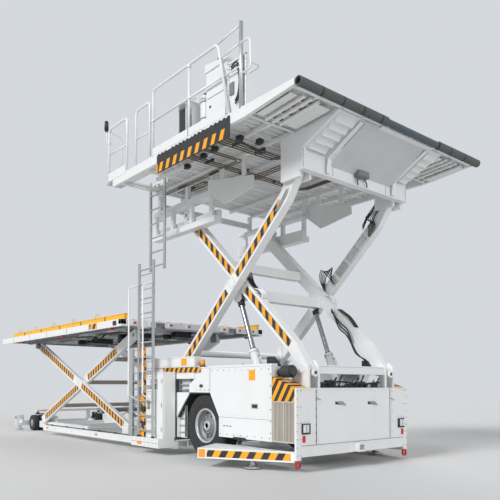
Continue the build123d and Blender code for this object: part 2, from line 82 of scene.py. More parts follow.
wear = {
    "detail": 6, "fineScale": 60, "fineDetail": 3, "runStretch": (2.6, 2.6, 0.5), "runScale": 1.4,
    "from": 0.95, "to": 1.5, "gloss": 0.18, "grimeShare": 0.45, "grimeFloor": 0.03, "bumpStrength": 0.5,
}


def makeWeathering(values):
    # broad fading plus fine grain: base colour times (1 - amount x soft noise), grime pools low on the noise
    group, into, out = newGroup(
        "weathering",
        [("Color", "NodeSocketColor", (0.8, 0.8, 0.8, 1)),
         ("Grime", "NodeSocketColor", (0.3, 0.28, 0.25, 1)),
         ("Amount", "NodeSocketFloat", 0.12), ("Scale", "NodeSocketFloat", 1.5),
         ("Roughness", "NodeSocketFloat", 0.4)],
        [("Color", "NodeSocketColor"), ("Roughness", "NodeSocketFloat"), ("Height", "NodeSocketFloat")])
    make, link = group.nodes.new, group.links.new
    place = make("ShaderNodeTexCoord")
    broad = make("ShaderNodeTexNoise")
    broad.inputs["Detail"].default_value = values["detail"]
    fine = make("ShaderNodeTexNoise")
    fine.inputs["Scale"].default_value = values["fineScale"]
    fine.inputs["Detail"].default_value = values["fineDetail"]
    streak = make("ShaderNodeMapping")
    streak.inputs["Scale"].default_value = values["runStretch"]
    runs = make("ShaderNodeTexNoise")
    runs.inputs["Scale"].default_value = values["runScale"]
    ramp = make("ShaderNodeMapRange")
    both = make("ShaderNodeMath")
    both.operation = "ADD"
    amount = make("ShaderNodeMath")
    amount.operation = "MULTIPLY"
    mix = make("ShaderNodeMix")
    mix.data_type = "RGBA"
    rough = make("ShaderNodeMath")
    rough.operation = "MULTIPLY_ADD"
    rough.inputs[1].default_value = values["gloss"]
    link(place.outputs["Object"], broad.inputs["Vector"])
    link(into.outputs["Scale"], broad.inputs["Scale"])
    link(place.outputs["Object"], fine.inputs["Vector"])
    link(place.outputs["Object"], streak.inputs["Vector"])
    link(streak.outputs["Vector"], runs.inputs["Vector"])
    link(broad.outputs["Fac"], both.inputs[0])
    link(runs.outputs["Fac"], both.inputs[1])
    ramp.inputs["From Min"].default_value = values["from"]
    ramp.inputs["From Max"].default_value = values["to"]
    link(both.outputs["Value"], ramp.inputs["Value"])
    link(ramp.outputs["Result"], amount.inputs[0])
    link(into.outputs["Amount"], amount.inputs[1])
    link(amount.outputs["Value"], mix.inputs["Factor"])
    link(into.outputs["Color"], mix.inputs["A"])
    link(into.outputs["Grime"], mix.inputs["B"])
    link(mix.outputs["Result"], out.inputs["Color"])
    link(broad.outputs["Fac"], rough.inputs[0])
    link(into.outputs["Roughness"], rough.inputs[2])
    link(rough.outputs["Value"], out.inputs["Roughness"])
    link(fine.outputs["Fac"], out.inputs["Height"])
    return group


def makeStripes():
    # position dotted with the stripe normal, over the pitch: the fraction past one half is the second colour
    group, into, out = newGroup(
        "slantedStripes",
        [("First", "NodeSocketColor", (0.9, 0.5, 0.03, 1)),
         ("Second", "NodeSocketColor", (0.02, 0.02, 0.02, 1)),
         ("Normal", "NodeSocketVector", (1, 0, 1)), ("Pitch", "NodeSocketFloat", 0.2),
         ("Shift", "NodeSocketFloat", 0)],
        [("Color", "NodeSocketColor")])
    make, link = group.nodes.new, group.links.new
    place = make("ShaderNodeTexCoord")
    dot = make("ShaderNodeVectorMath")
    dot.operation = "DOT_PRODUCT"
    over = make("ShaderNodeMath")
    over.operation = "DIVIDE"
    add = make("ShaderNodeMath")
    add.operation = "ADD"
    part = make("ShaderNodeMath")
    part.operation = "FRACT"
    step = make("ShaderNodeMath")
    step.operation = "GREATER_THAN"
    step.inputs[1].default_value = 0.5
    mix = make("ShaderNodeMix")
    mix.data_type = "RGBA"
    link(place.outputs["Object"], dot.inputs[0])
    link(into.outputs["Normal"], dot.inputs[1])
    link(dot.outputs["Value"], over.inputs[0])
    link(into.outputs["Pitch"], over.inputs[1])
    link(over.outputs["Value"], add.inputs[0])
    link(into.outputs["Shift"], add.inputs[1])
    link(add.outputs["Value"], part.inputs[0])
    link(part.outputs["Value"], step.inputs[0])
    link(step.outputs["Value"], mix.inputs["Factor"])
    link(into.outputs["First"], mix.inputs["A"])
    link(into.outputs["Second"], mix.inputs["B"])
    link(mix.outputs["Result"], out.inputs["Color"])
    return group


weathering = makeWeathering(wear)
slantedStripes = makeStripes()

# materials
finishes = {
    # name: colour, roughness, metallic, grime amount, bump distance
    "whitePaint": ((0.82, 0.83, 0.83), 0.34, 0.0, 0.09, 0.0002),
    # shadedWhite is the white paint darkened: painted shade for white parts that lie in shadow
    "shadedWhite": ((0.60, 0.62, 0.63), 0.42, 0.0, 0.25, 0.0003),
    "greyPaint": ((0.20, 0.21, 0.22), 0.45, 0.0, 0.30, 0.0004),
    "darkSteel": ((0.055, 0.057, 0.06), 0.55, 0.3, 0.35, 0.0006),
    "galvanised": ((0.52, 0.54, 0.55), 0.38, 0.75, 0.25, 0.0004),
    "bareSteel": ((0.42, 0.42, 0.43), 0.32, 0.9, 0.30, 0.0003),
    "chromeRod": ((0.34, 0.35, 0.37), 0.22, 1.0, 0.05, 0.0),
    "rimSilver": ((0.30, 0.31, 0.32), 0.42, 0.15, 0.25, 0.0003),
    "tyreRubber": ((0.028, 0.028, 0.029), 0.78, 0.0, 0.45, 0.0010),
    "bumperRubber": ((0.095, 0.097, 0.10), 0.62, 0.0, 0.30, 0.0006),
    "slateRubber": ((0.070, 0.098, 0.115), 0.50, 0.0, 0.30, 0.0005),
    "hoseRubber": ((0.018, 0.018, 0.02), 0.5, 0.0, 0.20, 0.0004),
    "blackPlastic": ((0.02, 0.021, 0.023), 0.55, 0.0, 0.25, 0.0006),
    "grilleBeige": ((0.56, 0.52, 0.46), 0.5, 0.0, 0.35, 0.0004),
    "redPaint": ((0.52, 0.03, 0.03), 0.35, 0.0, 0.15, 0.0002),
    "amberLens": ((0.85, 0.30, 0.02), 0.2, 0.0, 0.05, 0.0002),
    "redLens": ((0.55, 0.02, 0.02), 0.18, 0.0, 0.05, 0.0002),
    "clearLens": ((0.75, 0.77, 0.78), 0.1, 0.2, 0.05, 0.0002),
    "yellowPaint": ((0.93, 0.50, 0.01), 0.4, 0.0, 0.25, 0.0003),
    "orangePaint": ((0.85, 0.33, 0.02), 0.4, 0.0, 0.15, 0.0003),
    "warmGrey": ((0.34, 0.31, 0.28), 0.5, 0.1, 0.30, 0.0003),
    "lockRing": ((0.55, 0.57, 0.58), 0.30, 0.3, 0.10, 0.0002),
    "lensBright": ((0.72, 0.75, 0.78), 0.10, 0.0, 0.02, 0.0),
    "brassPipe": ((0.16, 0.115, 0.08), 0.45, 0.3, 0.35, 0.0003),
}


def makeFinish(name, colour, rough, metal, grime, bump, stripes=None):
    material = bpy.data.materials.new(name)
    material.use_nodes = True
    tree = material.node_tree
    shader = tree.nodes["Principled BSDF"]
    worn = tree.nodes.new("ShaderNodeGroup")
    worn.node_tree = weathering
    dulled = tuple(wear["grimeShare"] * c + wear["grimeFloor"] for c in colour)
    worn.inputs["Color"].default_value = (*colour, 1)
    worn.inputs["Grime"].default_value = (*dulled, 1)
    worn.inputs["Amount"].default_value = grime
    worn.inputs["Roughness"].default_value = rough - wear["gloss"] / 2
    if stripes:
        lines = tree.nodes.new("ShaderNodeGroup")
        lines.node_tree = slantedStripes
        for label, value in stripes.items():
            lines.inputs[label].default_value = value
        tree.links.new(lines.outputs["Color"], worn.inputs["Color"])
    tree.links.new(worn.outputs["Color"], shader.inputs["Base Color"])
    tree.links.new(worn.outputs["Roughness"], shader.inputs["Roughness"])
    shader.inputs["Metallic"].default_value = metal
    if bump:
        bumper = tree.nodes.new("ShaderNodeBump")
        bumper.inputs["Distance"].default_value = bump
        bumper.inputs["Strength"].default_value = wear["bumpStrength"]
        tree.links.new(worn.outputs["Height"], bumper.inputs["Height"])
        tree.links.new(bumper.outputs["Normal"], shader.inputs["Normal"])
    return material


paint = {name: makeFinish(name, *values) for name, values in finishes.items()}

hazard = {
    # name: stripe normal (x, y, z), pitch in metres, shift
    "hazardRight": ((1.0, 0.0, -0.5), 0.24, 0.3),
    "hazardUp": ((1.0, 0.0, -0.64), 0.157, 0.2),
}
stripeOrange = (0.93, 0.40, 0.01)


def addStripedPaints(looks, dark):
    for name, (normal, pitch, shift) in looks.items():
        paint[name] = makeFinish(name, stripeOrange, 0.4, 0.0, 0.12, 0.0003,
                                 {"Normal": normal, "Pitch": pitch, "Shift": shift,
                                  "First": (*stripeOrange, 1), "Second": (*dark, 1)})


addStripedPaints(hazard, (0.025, 0.025, 0.028))
print("materials made", len(paint))

# looks of the carried-over solids
nodeLooks = {
    "low_frame": "whitePaint", "rear_tail": "whitePaint", "front_frame": "greyPaint",
    "bridge_feet": "whitePaint",
    "front_panel": "whitePaint", "front_bumper": "whitePaint", "side_covers": "whitePaint",
    "arch_liners": "blackPlastic",
    "side_grilles": "grilleBeige", "corner_blocks": "hazardUp", "engine_pack": "darkSteel",
    "bridge_tracks": "whitePaint",
    "side_cabinets": "whitePaint", "hazard_bars": "hazardUp", "access_steps": "greyPaint",
    "step_wings": "whitePaint",
    "stabiliser_feet": "galvanised", "tie_down_hooks": "redPaint", "lamps": "clearLens",
    "red_lamps": "redLens",
    "marker_lamps": "amberLens", "chassis_ladder": "galvanised", "grab_rails": "whitePaint",
    "front_tyre_left": "tyreRubber", "front_tyre_right": "tyreRubber", "rear_tyres_left": "tyreRubber",
    "rear_tyres_right": "tyreRubber", "front_rim_left": "rimSilver", "front_rim_right": "rimSilver",
    "rear_rims_left": "rimSilver", "rear_rims_right": "rimSilver", "front_knuckle_left": "darkSteel",
    "front_knuckle_right": "darkSteel", "rear_fork_left": "darkSteel", "rear_fork_right": "darkSteel",
    "bridge_inner_arms": "whitePaint", "bridge_outer_arms": "whitePaint",
    "inner_arm_fittings": "whitePaint", "outer_arm_fittings": "whitePaint",
    "bridge_barrels": "whitePaint",
    "bridge_rods": "chromeRod", "bridge_deck": "whitePaint", "bridge_front_beam": "whitePaint",
    "bridge_rails": "whitePaint", "bridge_bumpers": "bumperRubber", "bridge_handrails": "whitePaint",
    "deck_skirt": "greyPaint", "operator_console": "whitePaint", "rear_walkway": "galvanised",
    "bridge_ladder": "galvanised", "platform_outer_arms": "whitePaint",
    "platform_inner_arms": "whitePaint",
    "platform_outer_fittings": "greyPaint", "platform_inner_fittings": "warmGrey",
    "platform_barrels": "whitePaint",
    "platform_rods": "chromeRod", "platform_deck": "whitePaint", "platform_beams": "greyPaint",
    "platform_guides": "yellowPaint",
}
for name, look in nodeLooks.items():
    if name in nodes:
        nodes[name].data.materials.clear()
        nodes[name].data.materials.append(paint[look])
print("solids dressed")

# piece builders


def addPiece(name, mesh, body, look, smooth=False, bevel=0.0):
    piece = bpy.data.objects.new(name, mesh)
    bpy.context.scene.collection.objects.link(piece)
    mesh.materials.append(paint[look])
    if smooth:
        mesh.polygons.foreach_set("use_smooth", np.ones(len(mesh.polygons), bool))
    if bevel:
        edge = piece.modifiers.new("edge", "BEVEL")
        edge.width = bevel
        edge.segments = 2
        edge.limit_method = "ANGLE"
    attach(piece, body)
    return piece


def meshOf(name, points, faces):
    mesh = bpy.data.meshes.new(name)
    mesh.from_pydata(np.asarray(points, float).tolist(), [], [list(map(int, f)) for f in faces])
    mesh.update()
    return mesh


boxFaces = np.array([(0, 2, 3, 1), (4, 5, 7, 6), (0, 1, 5, 4), (2, 6, 7, 3), (0, 4, 6, 2), (1, 3, 7, 5)])


def joined(chunks):
    # whole pieces as (points, faces): the faces are counted on by the points before them
    points, faces, count = [], [], 0
    for chunk, rings in chunks:
        points.append(np.asarray(chunk, float))
        faces += [tuple(int(i) + count for i in ring) for ring in rings]
        count += len(chunk)
    return np.concatenate(points), faces


def boxChunk(x, y, z):
    # eight corners: every mix of the low and high x, y and z
    corners = np.array([(a, b, c) for a in x for b in y for c in z])
    return corners, boxFaces


def prismChunk(outline, low, high, axis="y"):
    # an outline in a plane, swept along the third axis between low and high
    flat = np.asarray(outline, float)
    n = len(flat)
    spots = {"y": (0, 2, 1), "x": (1, 2, 0), "z": (0, 1, 2)}[axis]
    points = np.zeros((2 * n, 3))
    points[:, spots[0]] = np.tile(flat[:, 0], 2)
    points[:, spots[1]] = np.tile(flat[:, 1], 2)
    points[:n, spots[2]] = low
    points[n:, spots[2]] = high
    faces = [tuple(range(n))[::-1], tuple(range(n, 2 * n))]
    faces += [(i, (i + 1) % n, n + (i + 1) % n, n + i) for i in range(n)]
    return points, faces


def ringFrame(direction):
    ahead = direction / np.linalg.norm(direction)
    side = np.cross(ahead, (0, 0, 1) if abs(ahead[2]) < 0.9 else (1, 0, 0))
    side /= np.linalg.norm(side)
    return side, np.cross(ahead, side)


def rodChunk(start, end, radius, sides=12, tip=None):
    # a circle of the given radius round the line from start to end, with flat ends
    start, end = np.asarray(start, float), np.asarray(end, float)
    side, up = ringFrame(end - start)
    turn = np.linspace(0, 2 * np.pi, sides, endpoint=False)[:, None]
    ring = np.cos(turn) * side + np.sin(turn) * up
    points = np.concatenate([start + ring * radius, end + ring * (tip or radius)])
    faces = [tuple(range(sides))[::-1], tuple(range(sides, 2 * sides))]
    faces += [(i, (i + 1) % sides, sides + (i + 1) % sides, sides + i) for i in range(sides)]
    return points, faces


def sweepChunk(line, radius, sides=10):
    # a circle of the given radius carried along a line of points, kept from twisting
    line = np.asarray(line, float)
    ahead = np.gradient(line, axis=0)
    ahead /= np.linalg.norm(ahead, axis=1)[:, None]
    side, up = ringFrame(ahead[0])
    turn = np.linspace(0, 2 * np.pi, sides, endpoint=False)
    points = []
    for place, way in zip(line, ahead):
        side = side - way * side.dot(way)
        side /= np.linalg.norm(side)
        up = np.cross(way, side)
        points.append(place + radius * (np.cos(turn)[:, None] * side + np.sin(turn)[:, None] * up))
    n, m = len(line), sides
    faces = [tuple(range(m))[::-1], tuple(range((n - 1) * m, n * m))]
    faces += [(i * m + j, i * m + (j + 1) % m, (i + 1) * m + (j + 1) % m, (i + 1) * m + j)
              for i in range(n - 1) for j in range(m)]
    return np.concatenate(points), faces


def tubeChunk(path, radius, sides=10, steps=6):
    # a smooth curve through the path, then swept: each span is a cubic
    # whose slope at a point runs parallel to the chord between its neighbours
    path = np.asarray(path, float)
    ends = np.concatenate([[2 * path[0] - path[1]], path, [2 * path[-1] - path[-2]]])
    t = np.linspace(0, 1, steps, endpoint=False)[:, None]
    runs = []
    for a, b, c, d in zip(ends[:-3], ends[1:-2], ends[2:-1], ends[3:]):
        square = (2 * a - 5 * b + 4 * c - d) * t ** 2
        runs.append(0.5 * (2 * b + (c - a) * t + square + (3 * b - a - 3 * c + d) * t ** 3))
    return sweepChunk(np.concatenate(runs + [path[-1:]]), radius, sides)


def bentChunk(corners, radius, bend=0.08, sides=10, steps=6):
    # straight runs between the corners; each inner corner is rounded by a parabola that starts bend away
    corners = np.asarray(corners, float)
    t = np.linspace(0, 1, steps)[:, None]
    line = [corners[:1]]
    for a, b, c in zip(corners[:-2], corners[1:-1], corners[2:]):
        near = b + (a - b) * min(0.49, bend / np.linalg.norm(a - b))
        far = b + (c - b) * min(0.49, bend / np.linalg.norm(c - b))
        line.append((1 - t) ** 2 * near + 2 * t * (1 - t) * b + t ** 2 * far)
    line.append(corners[-1:])
    return sweepChunk(np.concatenate(line), radius, sides)


def latheChunk(profile, centre, sides=48):
    # (radius, y) pairs turned about an axis along y through the centre
    profile = np.asarray(profile, float)
    turn = np.linspace(0, 2 * np.pi, sides, endpoint=False)
    m = len(profile)
    points = np.zeros((sides, m, 3))
    points[:, :, 0] = centre[0] + np.cos(turn)[:, None] * profile[None, :, 0]
    points[:, :, 1] = centre[1] + profile[None, :, 1]
    points[:, :, 2] = centre[2] + np.sin(turn)[:, None] * profile[None, :, 0]
    faces = [(i * m + j, i * m + j + 1, ((i + 1) % sides) * m + j + 1, ((i + 1) % sides) * m + j)
             for i in range(sides) for j in range(m - 1)]
    return points.reshape(-1, 3), faces


def ringChunk(profile, centre, sides=48):
    # the same turning, with the profile closed on itself
    points, faces = latheChunk(profile, centre, sides)
    m = len(profile)
    faces += [(i * m + m - 1, i * m, ((i + 1) % sides) * m,
               ((i + 1) % sides) * m + m - 1) for i in range(sides)]
    return points, faces


def addChunks(name, chunks, body, look, smooth=False, bevel=0.0):
    points, faces = joined(chunks)
    mesh = meshOf(name, points, faces)
    tidy = bmesh.new()
    tidy.from_mesh(mesh)
    bmesh.ops.recalc_face_normals(tidy, faces=tidy.faces)
    tidy.to_mesh(mesh)
    tidy.free()
    return addPiece(name, mesh, body, look, smooth, bevel)


def shadeAround(piece, limit=0.6):
    # smooth round the tube, sharp where its end turns by more than the limit, in radians
    piece.data.polygons.foreach_set("use_smooth", np.ones(len(piece.data.polygons), bool))
    piece.data.set_sharp_from_angle(angle=limit)

# hazard strips on the outer faces of the arms
strips = {
    # arm: body, centre x z, direction x z, outer face y, half width, runs along the arm, look
    "bridgeOuter": ("bridge_arms_outer", (0.62, 3.02), (0.736, 0.677), 1.200, 0.050,
                    ((-2.02, -0.20), (0.16, 1.62)), "stripeArm"),
    "bridgeInner": ("bridge_arms_inner", (0.62, 3.02), (-0.736, 0.677), 1.000, 0.050,
                    ((-1.62, -0.16), (0.22, 2.02)), "stripeArm"),
    "platformOuter": ("platform_arms_outer", (-5.32, 1.36), (-0.927, 0.375), 1.235, 0.060,
                      ((-2.45, -0.22), (0.30, 2.55)), "stripeLow"),
    "platformInner": ("platform_arms_inner", (-5.32, 1.36), (0.927, 0.375), 1.120, 0.060,
                      ((-2.50, -0.25), (0.30, 1.85)), "stripeLow"),
}
stripeLooks = {
    # look: stripe normal (x, y, z), pitch along it, shift
    "stripeArm": ((1.0, 0.0, 0.04), 0.160, 0.15),
    "stripeLow": ((1.0, 0.0, 0.04), 0.128, 0.15),
    "stripeWingRight": ((0.891, 0.454, -0.55), 0.230, 0.15),
    "stripeWingLeft": ((0.891, -0.454, -0.55), 0.230, 0.15),
    "stripePost": ((0.5, 0.0, 1.0), 0.300, 0.40),
}
addStripedPaints(stripeLooks, (0.022, 0.022, 0.025))


def addStrips(values):
    for arm, (body, centre, way, face, half, runs, look) in values.items():
        centre, way = np.array(centre), np.array(way)
        side = np.array((-way[1], way[0]))
        lines, marks = [], []
        for y in (-face, face):
            out = 0.004 if y > 0 else -0.004
            for start, end in runs:
                flat = np.array([centre + way * start - side * half, centre + way * end - side * half,
                                 centre + way * end + side * half, centre + way * start + side * half])
                marks.append(prismChunk(flat, y, y + out))
                # a thin dark line beside the strip
                for edge in (-1, 1):
                    rim = [centre + way * start + side * edge * (half + 0.004),
                           centre + way * end + side * edge * (half + 0.004),
                           centre + way * end + side * edge * (half + 0.009),
                           centre + way * start + side * edge * (half + 0.009)]
                    lines.append(prismChunk(rim, y, y + out * 0.6))
        addChunks(arm + "Strips", marks, body, look)
        addChunks(arm + "Lines", lines, body, "darkSteel")


addStrips(strips)

# gussets, pin caps and welds of the arms
caps = {
    "flangeEdge": 0.105, "flangeWide": 0.018, "flangeHigh": 0.004, "boltRadius": 0.009,
    # body, x, z, face y, radius, share of the full cap height
    "pins": (
        ("bridge_arms_outer", 0.62, 3.02, 1.2, 0.10, 1),
        ("bridge_arms_outer", 2.1, 4.5, 1.2, 0.10, 1),
        ("bridge_arms_inner", 2.1, 1.54, 1.0, 0.10, 1),
        ("platform_arms_outer", -5.32, 1.36, 1.235, 0.055, 0.33),
        ("platform_arms_outer", -2.85, 0.36, 1.235, 0.07, 1),
    ),
}


def addArmDetails(values):
    chunks = {"bridge_arms_outer": [], "bridge_arms_inner": [], "platform_arms_outer": [],
              "platform_arms_inner": [], "chassis": []}
    bolts = {name: [] for name in chunks}
    for s in (-1, 1):
        for body, x, z, y, radius, k in values["pins"]:
            chunks[body].append(rodChunk((x, s * y, z), (x, s * (y + 0.010 * k), z), radius, 28))
            chunks[body].append(rodChunk((x, s * (y + 0.008 * k), z), (x, s * (y + 0.012 * k), z),
                                         radius * 0.62, 24))
            for i in range(6):
                turn = i * math.pi / 3
                bx, bz = x + 0.8 * radius * math.cos(turn), z + 0.8 * radius * math.sin(turn)
                bolts[body].append(rodChunk((bx, s * (y + 0.008 * k), bz), (bx, s * (y + 0.013 * k), bz),
                                            values["boltRadius"], 6))
        # flange strips along the arm edges
        for body, centre, way, face, _, runs, _ in strips.values():
            centre, way = np.array(centre), np.array(way)
            side = np.array((-way[1], way[0]))
            edge = values["flangeEdge"]
            first, last = runs[0][0], runs[-1][1]
            for sign in (-1, 1):
                a, b = sign * (edge - values["flangeWide"]), sign * edge
                flat = [centre + way * first + side * a, centre + way * last + side * a,
                        centre + way * last + side * b, centre + way * first + side * b]
                chunks[body].append(prismChunk(flat, s * face, s * (face + values["flangeHigh"])))
    # V bracket that carries the round torque tube at the foot of the outer arms
    for s in (-1, 1):
        flat = [(-0.66, 2.03), (-0.53, 2.12), (-0.50, 1.86), (-0.55, 1.78), (-0.66, 1.80)]
        chunks["bridge_arms_outer"].append(prismChunk(flat, s * 1.03, s * 1.059))
        chunks["bridge_arms_outer"].append(rodChunk((-0.60, s * 1.0, 1.87), (-0.60, s * 1.03, 1.87),
                                                    0.085, 24))
    for body, parts in chunks.items():
        if parts:
            addChunks(body + "_fittings", parts, body, "whitePaint", bevel=0.0)
        if bolts[body]:
            addChunks(body + "_bolts", bolts[body], body, "bareSteel")


addArmDetails(caps)
print("arms striped")

# front panel: seams, bolts, handles, latches and lamp recesses
front = {
    "x": 2.300,
    "seams": (-0.932, 0.872),
    "handles": ((-0.42, 1.005), (0.37, 0.995)),
    "latches": ((-0.90, 1.09), (0.93, 1.06)),
}


def boltRow(start, end, count, normal, radius=0.011, proud=0.008):
    start, end, normal = np.array(start, float), np.array(end, float), np.array(normal, float)
    return [rodChunk(p, p + normal * proud, radius, 6, radius * 0.8)
            for p in (start + (end - start) * f for f in np.linspace(0, 1, count))]


def addFront(values):
    x = values["x"]
    dark, steel, white, glass = [], [], [], []
    for y in values["seams"]:
        dark.append(boxChunk((x, x + 0.002), (y - 0.005, y + 0.005), (0.395, 1.232)))
        white.append(boxChunk((x, x + 0.006), (y + 0.008, y + 0.030), (0.395, 1.232)))
    dark.append(boxChunk((x, x + 0.002), (-1.245, 1.245), (0.386, 0.392)))
    white.append(boxChunk((x, x + 0.010), (-1.35, 1.35), (1.222, 1.240)))
    # each bay is a plate with a small step
    for low, high in ((-1.238, -0.945), (-0.890, 0.862), (0.912, 1.238)):
        white.append(boxChunk((x, x + 0.004), (low, high), (0.402, 1.212)))
    for y, z in values["handles"]:
        dark.append(boxChunk((x + 0.004, x + 0.006), (y - 0.09, y + 0.09), (z - 0.022, z + 0.022)))
        flat = [(y - 0.085, z + 0.018), (y + 0.075, z + 0.018), (y + 0.155, z - 0.040),
                (y + 0.02, z - 0.028)]
        steel.append(prismChunk(flat, x + 0.006, x + 0.026, "x"))
    for y, z in values["latches"]:
        flat = [(y - 0.05, z + 0.012), (y + 0.04, z - 0.02), (y + 0.06, z - 0.035),
                (y - 0.03, z - 0.012)]
        steel.append(prismChunk(flat, x + 0.004, x + 0.022, "x"))
    for s in (-1, 1):
        # lamp recess with a reflector and a lens
        dark.append(boxChunk((x + 0.001, x + 0.030), sorted((s * 1.085, s * 1.245)), (0.560, 0.715)))
        glass.append(boxChunk((x + 0.030, x + 0.036), sorted((s * 1.120, s * 1.236)), (0.585, 0.700)))
        dark.append(boxChunk((x + 0.036, x + 0.038), sorted((s * 1.172, s * 1.178)), (0.585, 0.700)))
        glass.append(rodChunk((x + 0.036, s * 1.148, 0.64), (x + 0.044, s * 1.148, 0.64), 0.021, 24,
                              0.015))
        glass.append(rodChunk((x + 0.036, s * 1.207, 0.64), (x + 0.044, s * 1.207, 0.64), 0.021, 24,
                              0.015))
        steel += boltRow((x, s * 1.335, 0.25), (x, s * 1.335, 1.20), 9, (1, 0, 0))
        steel += boltRow((x, s * 1.262, 0.25), (x, s * 1.262, 1.20), 5, (1, 0, 0))
    steel += boltRow((x + 0.002, -0.952, 0.45), (x + 0.002, -0.952, 1.18), 7, (1, 0, 0), 0.010)
    steel += boltRow((x + 0.002, 0.925, 0.50), (x + 0.002, 0.925, 1.18), 5, (1, 0, 0), 0.010)
    # rim of the bumper beam and its end plates
    white.append(boxChunk((x, x + 0.012), (-1.245, -0.085), (0.372, 0.386)))
    white.append(boxChunk((x, x + 0.012), (0.085, 1.245), (0.372, 0.386)))
    white.append(boxChunk((x, x + 0.010), (-1.245, -0.085), (0.225, 0.240)))
    white.append(boxChunk((x, x + 0.010), (0.085, 1.245), (0.225, 0.240)))
    addChunks("frontDark", dark, "chassis", "blackPlastic")
    addChunks("frontSteel", steel, "chassis", "bareSteel")
    addChunks("frontPlates", white, "chassis", "whitePaint", bevel=0.002)
    addChunks("frontLenses", glass, "chassis", "lensBright")
    # pin, ties and engine parts seen over the panel
    parts, pipes, silver = [], [], []
    parts.append(boxChunk((2.00, 2.22), (-0.76, 0.76), (1.20, 1.245)))
    for y, wide, high in ((-0.70, 0.16, 0.09), (-0.46, 0.10, 0.12), (-0.10, 0.24, 0.06),
                          (0.28, 0.14, 0.10), (0.52, 0.20, 0.07)):
        parts.append(boxChunk((2.02, 2.15), (y, y + wide), (1.24, 1.24 + high)))
    for i in range(11):
        y = -0.72 + 0.135 * i
        lift = 0.05 + 0.035 * ((i * 5) % 4)
        pipes.append(tubeChunk([(2.21, y, 1.235), (2.22, y + 0.03, 1.25 + lift),
                                (2.17, y + 0.12, 1.27 + lift), (2.06, y + 0.10, 1.24)], 0.010))
    pipes.append(tubeChunk([(2.20, -0.76, 1.28), (2.19, -0.3, 1.34), (2.20, 0.2, 1.30),
                            (2.19, 0.74, 1.33)], 0.014))
    silver += [rodChunk((2.17, -0.38, 1.29), (2.17, -0.16, 1.29), 0.036, 18),
               boxChunk((2.16, 2.20), (0.40, 0.50), (1.245, 1.30))]
    addChunks("engineTop", parts, "chassis", "darkSteel", bevel=0.004)
    addChunks("engineHoses", pipes, "chassis", "hoseRubber", True)
    addChunks("engineSilver", silver, "chassis", "galvanised")


addFront(front)

# cross beam between the feet of the bridge arms and the round bosses with dark pins
footParts = {"beam": (1.455, 1.565), "x": (2.13, 2.25)}


def addFootParts(values):
    white, dark = [], []
    white.append(boxChunk(values["x"], (-0.798, 0.798), values["beam"]))
    white.append(boxChunk((2.135, 2.245), (-0.798, 0.798), (1.568, 1.590)))
    for s in (-1, 1):
        white.append(rodChunk((2.10, s * 0.799, 1.54), (2.10, s * 0.775, 1.54), 0.085, 28))
        white.append(rodChunk((2.10, s * 1.051, 1.54), (2.10, s * 1.066, 1.54), 0.085, 28))
        white.append(rodChunk((2.255, s * 0.93, 1.47), (2.290, s * 0.93, 1.47), 0.062, 24))
        dark.append(rodChunk((2.290, s * 0.93, 1.47), (2.296, s * 0.93, 1.47), 0.026, 18))
    addChunks("footBeam", white, "chassis", "whitePaint", bevel=0.004)
    addChunks("footPins", dark, "chassis", "darkSteel")


addFootParts(footParts)
print("front dressed")

# guard rails of round tube on the right edge of the bridge deck
rails = {
    "y": -2.18,
    "tube": 0.021,
    "thin": 0.014,
    "bend": 0.11,
    "deck": 5.20,
}


